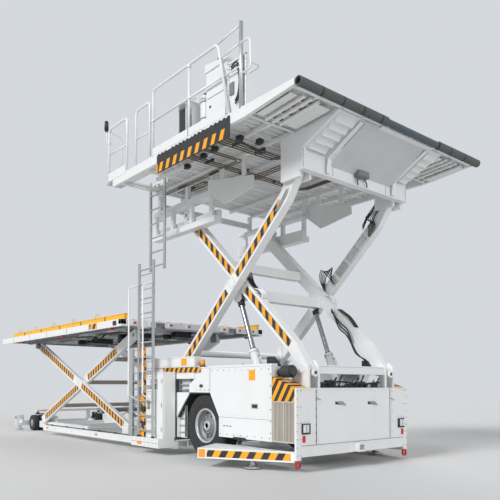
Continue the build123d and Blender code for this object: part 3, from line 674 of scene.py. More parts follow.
def addRails(values):
    y, r, thin, bend, deck = (values[key] for key in ("y", "tube", "thin", "bend", "deck"))
    tubes = [
        bentChunk([(-0.33, y, deck), (-0.33, y, 6.36), (1.50, y, 6.36), (1.76, y, 5.22)], r, bend),
        bentChunk([(0.75, y, deck), (0.75, y, 6.35)], r),
        bentChunk([(-0.33, y, 5.82), (1.62, y, 5.82)], r * 0.9),
        bentChunk([(1.62, y, 5.82), (2.02, y, 5.81)], thin),
        bentChunk([(1.50, y, 6.36), (2.03, y, 6.41)], thin),
        bentChunk([(1.56, y, 6.11), (2.03, y, 6.15)], thin),
        bentChunk([(-1.94, y, 5.14), (-1.94, y, 6.20), (-1.24, y, 6.20), (-1.24, y, deck)], r, bend),
        bentChunk([(-1.94, y, 5.70), (-1.24, y, 5.70)], thin),
        bentChunk([(-0.915, y, deck), (-0.915, y, 6.20), (-0.435, y, 6.20), (-0.435, y, deck)], r, bend),
        bentChunk([(-0.90, y, 5.68), (-0.45, y, 5.68)], thin),
        bentChunk([(2.04, y, 6.15), (2.24, y, 6.13), (2.25, y, 5.70), (2.05, y, 5.69)], thin, 0.07),
    ]
    # inner rails behind the walkway and the console
    inner = y + 0.42
    tubes += [
        bentChunk([(-0.10, inner, deck), (-0.10, inner, 6.12), (0.42, inner, 6.12), (0.42, inner, deck)],
                  thin, 0.08),
        bentChunk([(0.42, inner, 5.98), (1.98, inner, 5.98), (1.98, y + 0.02, 5.98)], thin, 0.08),
        bentChunk([(-0.10, inner, 5.70), (0.42, inner, 5.70)], thin),
        bentChunk([(-1.94, y, 5.14), (-1.94, y + 0.27, 5.14), (-1.94, y + 0.27, 6.10),
                   (-1.94, y + 0.02, 6.18)], thin, 0.07),
    ]
    rail = addChunks("guardRails", tubes, "bridge", "whitePaint", True)
    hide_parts("bridge_handrails")
    post = bentChunk([(2.04, y, deck), (2.04, y, 6.448)], 0.030, sides=16)
    addChunks("tallPost", [post], "bridge", "galvanised", True)
    # clamps where the rails meet and feet under the posts
    joints = [rodChunk((x, y, z - 0.02), (x, y, z + 0.02), 0.030, 14)
              for x, z in ((-0.33, 5.82), (0.75, 5.82), (0.75, 6.33), (2.04, 5.81), (2.04, 6.13),
                           (2.04, 5.70))]
    joints += [boxChunk((x - 0.045, x + 0.045), (y - 0.018, y + 0.045), (deck, deck + 0.012))
               for x in (-1.24, -0.915, -0.435, -0.33, 0.75, 1.76, 2.04)]
    addChunks("railJoints", joints, "bridge", "whitePaint", True)
    lamp = [bentChunk([(-1.94, y, 5.95), (-2.03, y, 6.0), (-2.06, y, 6.22)], 0.012, 0.04)]
    lamp.append(rodChunk((-1.96, y, 5.93), (-1.92, y, 5.93), 0.034, 14))
    addChunks("lampArm", lamp, "bridge", "whitePaint", True)
    head = [rodChunk((-2.06, y, 6.20), (-2.06, y, 6.235), 0.030, 16),
            rodChunk((-2.06, y, 6.235), (-2.06, y, 6.40), 0.042, 18, 0.036)]
    addChunks("lampHead", head, "bridge", "blackPlastic", True)


addRails(rails)

# toe boards over the dark skirt with its yellow marks
skirt = {
    "x": (-0.15, 1.82),
    "z": (4.85, 5.15),
    "marks": 9,
    "slant": 0.055,
    "markWide": 0.092,
    "markHigh": 0.145,
}


def addSkirt(values):
    (left, right), (low, high) = values["x"], values["z"]
    boards = [boxChunk((-0.309, 0.729), (-2.205, -2.185), (5.20, 5.33)),
              boxChunk((0.771, 1.70), (-2.205, -2.185), (5.20, 5.33)),
              boxChunk((-1.92, -1.26), (-2.205, -2.185), (5.17, 5.33))]
    board = addChunks("toeBoards", boards, "bridge", "whitePaint", bevel=0.003)
    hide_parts("deck_skirt")
    addChunks("deckSkirt", [boxChunk((left, right), (-2.216, -2.201), (low, high))], "bridge",
              "blackPlastic", bevel=0.002)
    gap = (right - left - 0.10) / values["marks"]
    marks = []
    for i in range(values["marks"]):
        x = left + 0.06 + gap * i
        z = low + 0.012
        top = z + values["markHigh"]
        flat = [(x, z), (x + values["markWide"], z), (x + values["markWide"] + values["slant"], top),
                (x + values["slant"], top)]
        marks.append(prismChunk(flat, -2.2195, -2.216))
    marks.append(boxChunk((left, left + 0.03), (-2.2195, -2.216), (low, low + 0.16)))
    addChunks("skirtMarks", marks, "bridge", "yellowMark")
    # notched lower edge of the toe boards
    notches = [boxChunk((x, x + 0.045), (-2.2185, -2.2005),
                        (5.150, 5.166)) for x in np.arange(left + 0.03, right - 0.05, 0.105)]
    addChunks("skirtNotches", notches, "bridge", "blackPlastic")
    clips = [boxChunk((x, x + 0.10), (-2.2195, -2.2005), (5.150, 5.185)) for x in (left + 0.30,
                                                                                   left + 0.92,
                                                                                   left + 1.40)]
    addChunks("skirtClips", clips, "bridge", "whitePaint", bevel=0.004)


paint["yellowMark"] = makeFinish("yellowMark", stripeOrange, 0.4, 0.0, 0.10, 0.0002)
addSkirt(skirt)

# operator's console, control boxes, tank and the end panel with its hoses
console = {"x": (1.13, 1.65), "y": (-2.12, -1.78), "z": (5.20, 6.08)}


def addConsole(values):
    (x0, x1), (y0, y1), (z0, z1) = values["x"], values["y"], values["z"]
    white, dark, grey, hoses = [], [], [], []
    # raised doors on the right and the front faces, sloped desk on top
    white.append(boxChunk((x0 + 0.03, x1 - 0.03), (y0 - 0.012, y0), (z0 + 0.06, 5.62)))
    white.append(boxChunk((x0 + 0.03, x1 - 0.03), (y0 - 0.016, y0), (5.66, z1 - 0.04)))
    white.append(boxChunk((x1, x1 + 0.014), (y0 + 0.03, y1 - 0.03), (z0 + 0.06, 5.60)))
    white.append(prismChunk([(x0 - 0.02, z1), (x1 + 0.02, z1), (x1 + 0.02, z1 + 0.05),
                             (x0 - 0.02, z1 + 0.13)], y0 - 0.02, y1 + 0.02))
    dark.append(prismChunk([(x0 + 0.03, z1 + 0.105), (x1 - 0.03, z1 + 0.055), (x1 - 0.03, z1 + 0.065),
                            (x0 + 0.03, z1 + 0.128)], y0 + 0.02, y1 - 0.02))
    for x in (1.25, 1.42):
        dark.append(rodChunk((x, -1.98, z1 + 0.10), (x, -1.98, z1 + 0.20), 0.008, 10))
        dark.append(rodChunk((x, -1.98, z1 + 0.19), (x, -1.98, z1 + 0.24), 0.020, 14, 0.012))
    for z in (5.34, 5.50):
        dark.append(boxChunk((x0 + 0.10, x0 + 0.14), (y0 - 0.020, y0 - 0.012), (z, z + 0.03)))
    # boxes of the electrics between the console and the rail
    for x, wide, low, high in ((0.36, 0.20, 5.36, 5.86), (0.60, 0.13, 5.30, 5.70)):
        grey.append(boxChunk((x, x + wide), (-2.10, -1.86), (low, high)))
        dark.append(boxChunk((x + 0.02, x + wide - 0.02), (-2.108, -2.10), (low + 0.03, high - 0.10)))
        white.append(boxChunk((x - 0.012, x), (-2.12, -1.84), (low - 0.16, high + 0.04)))
        white.append(boxChunk((x + wide, x + wide + 0.012), (-2.12, -1.84), (low - 0.16, high + 0.04)))
        hoses.append(tubeChunk([(x + 0.06, -2.0, low), (x + 0.05, -2.0, low - 0.08),
                                (x + 0.10, -2.02, 5.21)], 0.011))
    # tank cap, hoop and neck
    grey.append(rodChunk((0.955, -1.99, 5.81), (0.955, -1.99, 5.835), 0.070, 24))
    dark.append(rodChunk((0.955, -1.99, 5.835), (0.955, -1.99, 5.875), 0.040, 20))
    grey.append(rodChunk((0.955, -1.99, 5.44), (0.955, -1.99, 5.465), 0.0975, 28))
    grey.append(rodChunk((0.955, -1.99, 5.70), (0.955, -1.99, 5.725), 0.0975, 28))
    # rim of the end panel with a bolt row, and the curved hoses before it
    white.append(boxChunk((1.69, 1.715), (-2.150, -2.130), (5.20, 5.99)))
    white.append(boxChunk((2.085, 2.11), (-2.150, -2.130), (5.20, 5.99)))
    white.append(boxChunk((1.69, 2.11), (-2.150, -2.130), (5.965, 5.99)))
    for shift in (0.0, 0.045):
        hoses.append(tubeChunk([(1.78, -2.155, 5.90 - shift), (1.90, -2.16, 5.93 - shift),
                                (2.00 - shift, -2.165, 5.80),
                                (2.03 - shift, -2.165, 5.62), (1.99 - shift, -2.16, 5.44),
                                (1.88, -2.155, 5.33 + shift)], 0.012))
    grey.append(boxChunk((1.74, 1.83), (-2.150, -2.130), (5.50, 5.68)))
    hoses.append(tubeChunk([(1.66, -2.0, 5.5), (1.74, -2.06, 5.42), (1.78, -2.08, 5.22)], 0.014))
    addChunks("consolePlates", white, "bridge", "whitePaint", bevel=0.003)
    addChunks("consoleDark", dark, "bridge", "blackPlastic", bevel=0.001)
    addChunks("consoleBoxes", grey, "bridge", "greyPaint", bevel=0.003)
    addChunks("consoleHoses", hoses, "bridge", "hoseRubber", True)
    bolts = boltRow((1.7025, -2.150, 5.28), (1.7025, -2.150, 5.90), 5, (0, -1, 0), 0.008, 0.005)
    bolts += boltRow((2.0975, -2.150, 5.28), (2.0975, -2.150, 5.90), 5, (0, -1, 0), 0.008, 0.005)
    addChunks("consoleBolts", bolts, "bridge", "bareSteel")


addConsole(console)

# bumpers along the nose: dark joints, open ends, a slimmer bar set back in the middle
nose = {
    "x": 3.195, "z": 5.14, "radius": 0.064, "bore": 0.048, "plug": 0.06,
    "tubes": ((-2.2, -0.38), (0.98, 2.2)),
    "middle": (-0.37, 0.965), "middleX": 3.183, "middleRadius": 0.052,
    "joints": (-1.78, -1.36, -0.94, -0.52, 1.30, 1.72),
}


def addNose(values):
    x, z, r = values["x"], values["z"], values["radius"]
    dark = [rodChunk((x, y - 0.016, z), (x, y + 0.016, z), r + 0.0006, 32) for y in values["joints"]]
    pipes, plugs = [], []
    bore, plug = values["bore"], values["plug"]
    for low, high in values["tubes"]:
        pipes.append(ringChunk([(r, low), (r, high), (bore, high), (bore, low)], (x, 0, z)))
        plugs.append(rodChunk((x, low + plug, z), (x, high - plug, z), bore - 0.001, 28))
    low, high = values["middle"]
    bar = rodChunk((values["middleX"], low, z + 0.004), (values["middleX"], high, z + 0.004),
                   values["middleRadius"], 40)
    addChunks("bumperJoints", dark, "bridge", "blackPlastic", True)
    outer = addChunks("bumperPipes", pipes, "bridge", "bumperRubber")
    addChunks("bumperPlugs", plugs, "bridge", "blackPlastic")
    middle = addChunks("bumperMiddle", [bar], "bridge", "slateRubber")
    for piece in (outer, middle):
        shadeAround(piece)
    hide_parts("bridge_bumpers")
    brackets = [prismChunk([(3.04, 5.075), (3.128, 5.094), (3.128, 5.110), (3.04, 5.092)], -0.36, 0.955)]
    for y in (-2.14, -1.70, -1.25, -0.80, -0.42, -0.30, 0.30, 0.90, 1.02, 1.45, 2.12):
        brackets.append(prismChunk([(3.07, 5.10), (3.16, 5.085), (3.185, 5.12), (3.185, 5.165),
                                    (3.07, 5.168)], y, y + 0.014))
    addChunks("bumperBrackets", brackets, "bridge", "whitePaint")


addNose(nose)

# underside of the nose: channels with cut-outs, raised fields, louvres, flanged ribs
noseUnder = {
    "start": 2.26, "end": 3.03,
    "channels": (-1.93, -1.80, -1.66, 1.50, 1.64, 1.78, 1.95),
    "fields": ((-2.12, -1.99), (-1.60, -1.34), (1.34, 1.46), (2.0, 2.12)),
}


def slopeBox(start, end, y, low, high):
    # a bar between two (x, z) places of the underside, low and high being depths under that line
    (x0, z0), (x1, z1) = start, end
    return prismChunk([(x0, z0 - high), (x1, z1 - high), (x1, z1 - low), (x0, z0 - low)], y[0], y[1])


def addNoseUnder(values):
    white, dark, edges = [], [], []
    start, end = (values["start"], 5.055), (values["end"], 5.108)
    for y in values["channels"]:
        white.append(slopeBox(start, end, (y, y + 0.050), 0.0, 0.030))
        for f in np.linspace(0.10, 0.82, 4):
            a = np.array(start) + (np.array(end) - np.array(start)) * f
            b = np.array(start) + (np.array(end) - np.array(start)) * (f + 0.085)
            dark.append(slopeBox(a, b, (y + 0.055, y + 0.105), 0.004, 0.008))
            white.append(slopeBox(a - (0.012, 0), a, (y + 0.052, y + 0.110), 0.0, 0.022))
    for low, high in values["fields"]:
        white.append(slopeBox((2.30, 5.058), (2.97, 5.104), (low, high), 0.0, 0.012))
        edges.append(slopeBox((2.30, 5.058), (2.97, 5.104), (low - 0.006, low - 0.001), 0.0, 0.014))
    # a cross seam over each side field
    for s in (-1, 1):
        edges.append(boxChunk((2.235, 2.242), sorted((s * 1.30, s * 2.13)), (5.045, 5.056)))
        white.append(boxChunk((2.205, 2.235), sorted((s * 1.30, s * 2.13)), (5.020, 5.058)))
    # louvres: raised wedges across the outer bays, each a triangle in section
    for y0, y1 in ((-1.21, -0.84), (0.92, 1.21)):
        for f in np.linspace(0.06, 0.80, 5):
            x, z = 2.371 + (3.068 - 2.371) * f, 4.79 + (5.095 - 4.79) * f
            white.append(prismChunk([(x, z), (x + 0.105, z + 0.046), (x + 0.015, z - 0.052)], y0, y1))
    # flanges along the bent edges of the ribs
    for y in (-0.775, 0.850):
        bent = [(2.396, 4.50), (2.432, 4.722), (3.060, 5.062)]
        lower = [(2.412, 4.497), (2.446, 4.712), (3.066, 5.050)]
        white.append(prismChunk(bent + lower[::-1], y - 0.028, y + 0.052))
        edges.append(prismChunk([(2.444, 4.706), (2.449, 4.703), (3.064, 5.041), (3.062, 5.048)],
                                y + 0.052, y + 0.058))
    # seams across the front beam and its lower lip
    white.append(boxChunk((2.268, 2.390), (-1.274, 1.274), (4.462, 4.482)))
    for y in (-1.262, -0.62, 0.70, 1.262):
        edges.append(boxChunk((2.3705, 2.3725), (y - 0.003, y + 0.003), (4.49, 4.78)))
    # the wide middle panel: smudged white paint, darkened further as painted shade, inside a shallow frame
    panel = [(2.371, 4.640), (3.068, 5.095), (3.070, 5.091), (2.374, 4.636)]
    addChunks("nosePanel", [prismChunk(panel, -0.722, 0.824)], "bridge", "shadedWhite")
    for y in (-0.735, 0.825):
        white.append(prismChunk([(2.42, 4.655), (3.02, 5.066), (3.02, 5.076), (2.42, 4.668)], y,
                                y + 0.012))
    addChunks("noseChannels", white, "bridge", "whitePaint", bevel=0.002)
    addChunks("noseCutouts", dark, "bridge", "blackPlastic")
    addChunks("noseSeams", edges, "bridge", "greyPaint")
    # grey junction box with cable glands
    box = [boxChunk((2.375, 2.46), (-0.13, 0.16), (4.60, 4.755))]
    box.append(boxChunk((2.46, 2.472), (-0.115, 0.145), (4.612, 4.743)))
    for y in (-0.09, -0.02, 0.10):
        box.append(rodChunk((2.42, y, 4.60), (2.42, y, 4.565), 0.018, 12))
    addChunks("junctionBox", box, "bridge", "greyPaint", bevel=0.004)
    wires = [tubeChunk([(2.42, -0.09, 4.57), (2.42, -0.10, 4.53), (2.40, -0.06, 4.50),
                        (2.37, 0.0, 4.48)], 0.009),
             tubeChunk([(2.42, 0.10, 4.57), (2.43, 0.12, 4.53), (2.40, 0.17, 4.50), (2.37, 0.2, 4.48)],
                       0.009)]
    addChunks("junctionWires", wires, "bridge", "hoseRubber", True)
    # a dark strip on the beam face just over the junction box: painted shade
    shade = [boxChunk((2.3705, 2.374), (-0.10, 0.33), (4.76, 4.80))]
    addChunks("junctionShadeStrip", shade, "bridge", "blackPlastic")


addNoseUnder(noseUnder)

# corrugated sheet under the deck with its pipes, valves and hoses
deckUnder = {
    "pitch": 0.12, "wide": 0.055,
    "pipeHigh": 5.02, "pipe": 0.011,
}


def addDeckUnder(values):
    ribs = []
    for x in np.arange(-1.70, 2.18, values["pitch"]):
        inner = -1.42 if -1.72 < x < -0.92 else -2.13
        flat = [(x, 5.169), (x + values["wide"], 5.169), (x + values["wide"] * 0.8, 5.128),
                (x + values["wide"] * 0.2, 5.128)]
        ribs.append(prismChunk(flat, inner, 2.13))
    addChunks("deckRibs", ribs, "bridge", "whitePaint")
    z, r = values["pipeHigh"], values["pipe"]
    pipes, fittings, hoses = [], [], []
    # four pipes across, two along, each with a bend towards the arms
    for i in range(4):
        x = 1.22 + 0.07 * i
        pipes.append(bentChunk([(x, -1.98, z), (x, -0.86 + 0.06 * i, z), (2.0, -0.86 + 0.06 * i, z),
                                (2.0, -0.86 + 0.06 * i, 4.84)], r, 0.05))
    for i in range(3):
        y = -0.58 + 0.07 * i
        pipes.append(bentChunk([(-1.2, y - 0.5, z), (-0.35 + 0.07 * i, y - 0.5, z),
                                (-0.35 + 0.07 * i, y, z), (1.86, y, z), (1.86, y, 4.86)], r, 0.05))
    for i in range(3):
        x = 0.38 + 0.07 * i
        pipes.append(bentChunk([(x, -2.02, z + 0.01), (x, 0.6 + 0.05 * i, z + 0.01),
                                (1.7, 0.6 + 0.05 * i, z + 0.01)], r, 0.05))
    pipes.append(bentChunk([(-1.5, -1.20, z), (0.9, -1.20, z), (0.9, -2.0, z)], r, 0.06))
    pipes.append(bentChunk([(-1.5, -1.26, z), (0.84, -1.26, z), (0.84, -2.0, z)], r, 0.06))
    for x, y in ((1.36, -1.72), (1.36, -1.25), (0.48, -1.60), (0.48, -0.85), (0.48, -0.1), (0.3, -0.50),
                 (1.1, -0.50), (-0.9, -1.02), (-0.9, -1.23), (0.1, -1.23)):
        fittings.append(boxChunk((x - 0.08, x + 0.15) if y < -0.6 else (x - 0.02, x + 0.02),
                                 (y - 0.018, y + 0.018), (z - 0.020, z + 0.022)))
    for x, y in ((1.62, -1.86), (1.72, -1.55), (0.70, -1.86), (1.05, -1.90), (0.15, -1.80)):
        fittings.append(boxChunk((x - 0.05, x + 0.04), (y - 0.035, y + 0.035), (4.95, 5.03)))
        fittings.append(rodChunk((x - 0.09, y, 4.98), (x + 0.09, y, 4.98), 0.018, 12))
        fittings.append(rodChunk((x, y - 0.06, 5.0), (x, y + 0.08, 5.0), 0.014, 10))
    for i in range(5):
        y = -0.88 - 0.045 * i
        hoses.append(tubeChunk([(1.55 + 0.03 * i, y, 5.0), (1.72 + 0.02 * i, y, 4.93),
                                (1.88, y + 0.01, 4.84), (1.97, y + 0.02, 4.70),
                                (1.99, y + 0.02, 4.60 + 0.02 * i)], 0.014))
    for i in range(3):
        hoses.append(tubeChunk([(1.66, -1.84, 4.92), (1.74 + 0.03 * i, -1.70, 4.84 - 0.02 * i),
                                (1.60, -1.45, 4.88), (1.45, -1.20, 4.98)], 0.013))
    addChunks("deckPipes", pipes, "bridge", "brassPipe", True)
    addChunks("deckFittings", fittings, "bridge", "darkSteel", bevel=0.003)
    addChunks("deckHoses", hoses, "bridge", "hoseRubber", True)


addDeckUnder(deckUnder)
print("bridge dressed")

# hoses and pipes along the bridge arms, with clamps; t runs up the arm from the crossing
armLines = {
    "centre": (0.62, 3.02),
    "way": (0.736, 0.677),
    "normal": (-0.677, 0.736),
    "pipe": 0.009,
    "hose": 0.013,
}


def armPlace(values, t, n, y, lean=1):
    # a place t along and n across an arm whose slope is up (lean 1) or down (lean -1) to the front
    (cx, cz), (wx, wz), (nx, nz) = values["centre"], values["way"], values["normal"]
    return (cx + wx * t + lean * nx * n, y, cz + lean * wz * t + nz * n)


def addArmLines(values):
    pipes, clamps, hoses, whites = [], [], [], []
    # pipes on the inner face of the far outer arm, then loose loops up to the deck pin
    for i in range(6):
        n = -0.078 + 0.031 * i
        pipes.append(bentChunk([armPlace(values, 0.30, n, 1.048),
                                armPlace(values, 1.42 + 0.03 * i, n, 1.048)], values["pipe"] * 0.8))
        a, b = armPlace(values, 1.42 + 0.03 * i, n, 1.046), armPlace(values, 1.66, n, 1.030)
        hoses.append(tubeChunk([a, b, (1.86 - 0.035 * i, 1.030, 4.24 + 0.012 * i),
                                (1.98 - 0.030 * i, 1.035, 4.40), (2.05 - 0.025 * i, 1.03, 4.60)],
                               values["hose"] * 0.55))
    for t in (0.45, 0.80, 1.15, 1.40):
        a, b = armPlace(values, t, -0.09, 0), armPlace(values, t, 0.085, 0)
        c, d = armPlace(values, t + 0.05, 0.085, 0), armPlace(values, t + 0.05, -0.09, 0)
        clamps.append(prismChunk([(q[0], q[2]) for q in (a, b, c, d)], 1.036, 1.059))
    addChunks("farArmPipes", pipes, "bridge_arms_outer", "whitePaint", True)
    addChunks("farArmClamps", clamps, "bridge_arms_outer", "whitePaint", bevel=0.002)
    # loops between the arms at the crossing, near and far side
    for i in range(5):
        d = 0.034 * i
        hoses.append(tubeChunk([armPlace(values, 0.34, -0.06 + d, 1.045),
                                (0.74 + d, 1.03, 3.40 + 0.03 * i), (0.60 + d, 1.02, 3.50 - 0.035 * i),
                                (0.58 + d, 1.02, 3.30), armPlace(values, 0.12, 0.06 - d, 1.03, -1)],
                                values["hose"] * 0.7))
    addChunks("farArmHoses", hoses, "bridge_arms_outer", "hoseRubber", True)
    near, bands = [], []
    for i in range(6):
        n = -0.02 + 0.024 * i
        near.append(tubeChunk([armPlace(values, -0.34, 0.13, -0.955 + 0.02 * i, -1),
                               armPlace(values, -0.10, 0.16 + 0.01 * i, -0.955 + 0.02 * i, -1),
                               armPlace(values, 0.12, 0.125, -0.955 + 0.02 * i, -1),
                               armPlace(values, 0.30, 0.115, -0.955 + 0.02 * i, -1)],
                               values["hose"] * 0.62))
        whites.append(tubeChunk([armPlace(values, 0.30, 0.115, -0.955 + 0.02 * i, -1),
                                 armPlace(values, 0.38, 0.16, -0.955 + 0.02 * i, -1),
                                 armPlace(values, 0.50, 0.165, -0.955 + 0.02 * i, -1),
                                 armPlace(values, 0.56, 0.110, -0.955 + 0.02 * i, -1)], values["pipe"]))
    addChunks("nearArmHoses", near, "bridge_arms_inner", "hoseRubber", True)
    for t in (0.30, 0.40, 0.50):
        a, b = armPlace(values, t, 0.106, 0, -1), armPlace(values, t, 0.135, 0, -1)
        c, d = armPlace(values, t + 0.03, 0.135, 0, -1), armPlace(values, t + 0.03, 0.106, 0, -1)
        bands.append(prismChunk([(q[0], q[2]) for q in (a, b, c, d)], -0.985, -0.835))
    # the same lines on the far inner arm, and a thick hose down to the chassis
    far = []
    for i in range(4):
        y = 0.875 + 0.033 * i
        far.append(tubeChunk([armPlace(values, 0.62, 0.115, y, -1), armPlace(values, 0.90, 0.150, y, -1),
                              armPlace(values, 1.15, 0.118, y, -1)], values["hose"] * 0.7))
        whites.append(tubeChunk([armPlace(values, 0.20, 0.112, y, -1),
                                 armPlace(values, 0.28, 0.17, y, -1),
                                 armPlace(values, 0.40, 0.17, y, -1),
                                 armPlace(values, 0.46, 0.112, y, -1)], values["pipe"]))
    for i in range(3):
        y = 0.84 - 0.02 * i
        far.append(tubeChunk([armPlace(values, 0.55, 0.03 * i, y, -1),
                              (1.28, y - 0.05, 2.42 - 0.045 * i), (1.47, y - 0.08, 2.28 - 0.045 * i),
                              (1.56, y - 0.06, 2.05), (1.66, y - 0.03, 1.84),
                              (1.86, y, 1.68 + 0.02 * i)], values["hose"] * 0.9))
    addChunks("innerArmHoses", far, "bridge_arms_inner", "hoseRubber", True)
    addChunks("innerArmPipes", whites, "bridge_arms_inner", "whitePaint", True)
    addChunks("innerArmBands", bands, "bridge_arms_inner", "galvanised", bevel=0.002)


addArmLines(armLines)

# lift cylinders: glands, jackets and ports
cylinders = {"foot": (1.28, 0.80), "eye": (0.50, 2.80), "y": 0.93}


def addCylinders(values):
    foot, eye = np.array(values["foot"]), np.array(values["eye"])
    way = (eye - foot) / np.linalg.norm(eye - foot)
    jackets, glands, ports, collars = [], [], [], []
    for s in (-1, 1):
        y = s * values["y"]

        def place(t, dy=0.0, out=0.0):
            return (foot[0] + way[0] * t + way[1] * out, y + dy, foot[1] + way[1] * t - way[0] * out)

        jackets.append(rodChunk(place(0.36), place(1.105), 0.078, 28))
        jackets.append(rodChunk(place(1.105), place(1.158), 0.086, 28, 0.080))
        glands.append(rodChunk(place(1.158), place(1.182), 0.060, 24, 0.054))
        ports.append(rodChunk(place(1.02, 0.0, 0.07), place(1.02, 0.0, 0.105), 0.020, 12))
        ports.append(rodChunk(place(0.42, 0.0, 0.07), place(0.42, 0.0, 0.105), 0.020, 12))
        ports.append(bentChunk([place(1.02, 0.0, 0.10), place(0.98, 0.0, 0.125), place(0.44, 0.0, 0.125),
                                place(0.42, 0.0, 0.10)], 0.009, 0.03))
        end = np.linalg.norm(eye - foot)
        collars.append(rodChunk(place(end - 0.16), place(end - 0.055), 0.062, 24))
    addChunks("barrelJackets", jackets, "lift_barrels", "whitePaint", True)
    addChunks("barrelGlands", glands, "lift_barrels", "darkSteel", True)
    addChunks("barrelPorts", ports, "lift_barrels", "galvanised", True)
    addChunks("rodCollars", collars, "lift_rods", "darkSteel", True)


addCylinders(cylinders)
print("hoses laid")

# cables that curl over the knees at the top of the near outer arms
kneeCables = {"y": 1.205, "radius": 0.008}


def addKneeCables(values):
    pale, dark = [], []
    for s in (-1, 1):
        y = s * (values["y"] + 0.006)
        for i in range(3):
            d = 0.030 * i
            pale.append(tubeChunk([(1.70 + d, y, 3.98), (1.83 + d, y, 4.12), (1.90 + d, y, 4.20),
                                   (1.96 + d * 0.6, y, 4.28)], values["radius"]))
            dark.append(tubeChunk([(1.60, s * (1.052 - 0.008 * i), 4.10 + d), (1.72, s * 1.04, 4.28 + d),
                                   (1.88, s * 1.03, 4.42 + d), (1.98, s * 1.03, 4.60)],
                                  values["radius"]))
    addChunks("kneeCables", pale, "bridge_arms_outer", "galvanised", True)
    addChunks("kneeHoses", dark, "bridge_arms_outer", "hoseRubber", True)


addKneeCables(kneeCables)

# tyres: radius at each angle and width, cut by round grooves and slanted slits
tyres = {
    # name: replaced node, body, centre x y z, half width, radius, bead radius, slits round, groove depth
    "frontTyreRight": ("front_tyre_right", "front_wheel_right", (0.0, -1.13, 0.575), 0.170, 0.5745,
                       0.306, 44, 0.011),
    "frontTyreLeft": ("front_tyre_left", "front_wheel_left", (0.0, 1.13, 0.575), 0.170, 0.5745, 0.306,
                      44, 0.011),
}


def tyreMesh(name, centre, half, radius, bead, slits, depth):
    # closed profile round the section: tread, shoulder, bulging wall, bead, then back inside
    turns, across = 352, 25
    angle = np.linspace(0, 2 * np.pi, turns, endpoint=False)[:, None]
    wide = np.linspace(-1, 1, across)[None, :]
    crown = radius - 0.012 * np.abs(wide) ** 3 - 0.030 * np.clip((np.abs(wide) - 0.86) / 0.14, 0,
                                                                 1) ** 1.6
    rings = (np.abs(np.abs(wide) - 0.22) < 0.045) | (np.abs(np.abs(wide) - 0.58) < 0.045)
    phase = (angle * slits / (2 * np.pi) + 0.55 * np.abs(wide)) % 1.0
    slit = (phase < 0.22) & (np.abs(wide) > 0.22)
    tread = crown - depth * np.maximum(rings * 1.0, slit * 0.85) * np.ones_like(angle)
    y = 0.955 * half * wide * np.ones_like(angle)
    # wall points between shoulder and bead: (radius share, y share)
    wall = ((0.93, 0.995), (0.84, 1.0), (0.70, 1.0), (0.62, 0.985), (0.615, 0.970), (0.56, 0.955),
            (0.535, 0.93))
    walls = np.array([(radius * a, half * b) for a, b in wall])
    walls[-1, 0] = bead
    r = np.concatenate([np.tile(walls[::-1, 0], (turns, 1)), tread, np.tile(walls[:, 0], (turns, 1))],
                       axis=1)
    ys = np.concatenate([np.tile(-walls[::-1, 1], (turns, 1)), y, np.tile(walls[:, 1], (turns, 1))],
                        axis=1)
    count = r.shape[1]
    points = np.stack([centre[0] + np.cos(angle) * r, centre[1] + ys, centre[2] + np.sin(angle) * r],
                      axis=2)
    i, j = np.meshgrid(np.arange(turns), np.arange(count), indexing="ij")
    k, m = (i + 1) % turns, (j + 1) % count
    faces = np.stack([i * count + j, i * count + m, k * count + m, k * count + j], axis=2).reshape(-1, 4)
    return meshOf(name, points.reshape(-1, 3), faces)


def addTyres(values):
    for name, (node, body, centre, half, radius, bead, slits, depth) in values.items():
        mesh = tyreMesh(name, centre, half, radius, bead, slits, depth)
        tyre = addPiece(name, mesh, body, "tyreRubber", False)
        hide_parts(node)
        s = 1 if centre[1] > 0 else -1
        # raised rings on the wall, bright lock ring, hub, nuts and valve
        face = s * half
        rings = [latheChunk([(a - 0.006, face * 0.99), (a - 0.003, face + s * 0.002),
                             (a + 0.003, face + s * 0.002), (a + 0.006, face * 0.99)],
                            centre, 96) for a in (0.372, 0.470, 0.500)]
        addChunks(name + "Rings", rings, body, "tyreRubber", True)
        lock = [latheChunk([(0.268, face - s * 0.035), (0.276, face + s * 0.002),
                            (0.292, face + s * 0.004), (0.304, face - s * 0.002),
                            (0.304, face - s * 0.02)], centre, 72)]
        addChunks(name + "LockRing", lock, body, "lockRing", True)
        disc = face - s * 0.128
        plate = [latheChunk([(0.272, disc + s * 0.05), (0.250, disc + s * 0.012),
                             (0.215, disc + s * 0.004), (0.205, disc + s * 0.030),
                             (0.140, disc + s * 0.040), (0.132, disc + s * 0.061)], centre, 64)]
        addChunks(name + "Disc", plate, body, "rimSilver", True)
        nuts = []
        for n in range(10):
            turn = n * 2 * math.pi / 10
            x, z = centre[0] + 0.172 * math.cos(turn), centre[2] + 0.172 * math.sin(turn)
            nuts.append(rodChunk((x, centre[1] + disc + s * 0.030, z),
                                 (x, centre[1] + disc + s * 0.062, z), 0.016, 6))
            x, z = centre[0] + 0.105 * math.cos(turn), centre[2] + 0.105 * math.sin(turn)
            nuts.append(rodChunk((x, centre[1] + disc + s * 0.060, z),
                                 (x, centre[1] + disc + s * 0.070, z), 0.008, 6))
        addChunks(name + "Nuts", nuts, body, "bareSteel")
        hub = [latheChunk([(0.084, disc + s * 0.058), (0.084, disc + s * 0.099),
                           (0.074, disc + s * 0.104), (0.046, disc + s * 0.104),
                           (0.044, disc + s * 0.098), (0.001, disc + s * 0.098)], centre, 36)]
        addChunks(name + "Hub", hub, body, "lockRing", True)
        # hand holes in the disc
        holes = []
        for n in range(8):
            turn = (n + 0.5) * 2 * math.pi / 8
            x, z = centre[0] + 0.232 * math.cos(turn), centre[2] + 0.232 * math.sin(turn)
            holes.append(rodChunk((x, centre[1] + disc + s * 0.006, z),
                                  (x, centre[1] + disc + s * 0.013, z), 0.018, 16))
        addChunks(name + "HandHoles", holes, body, "blackPlastic")


addTyres(tyres)

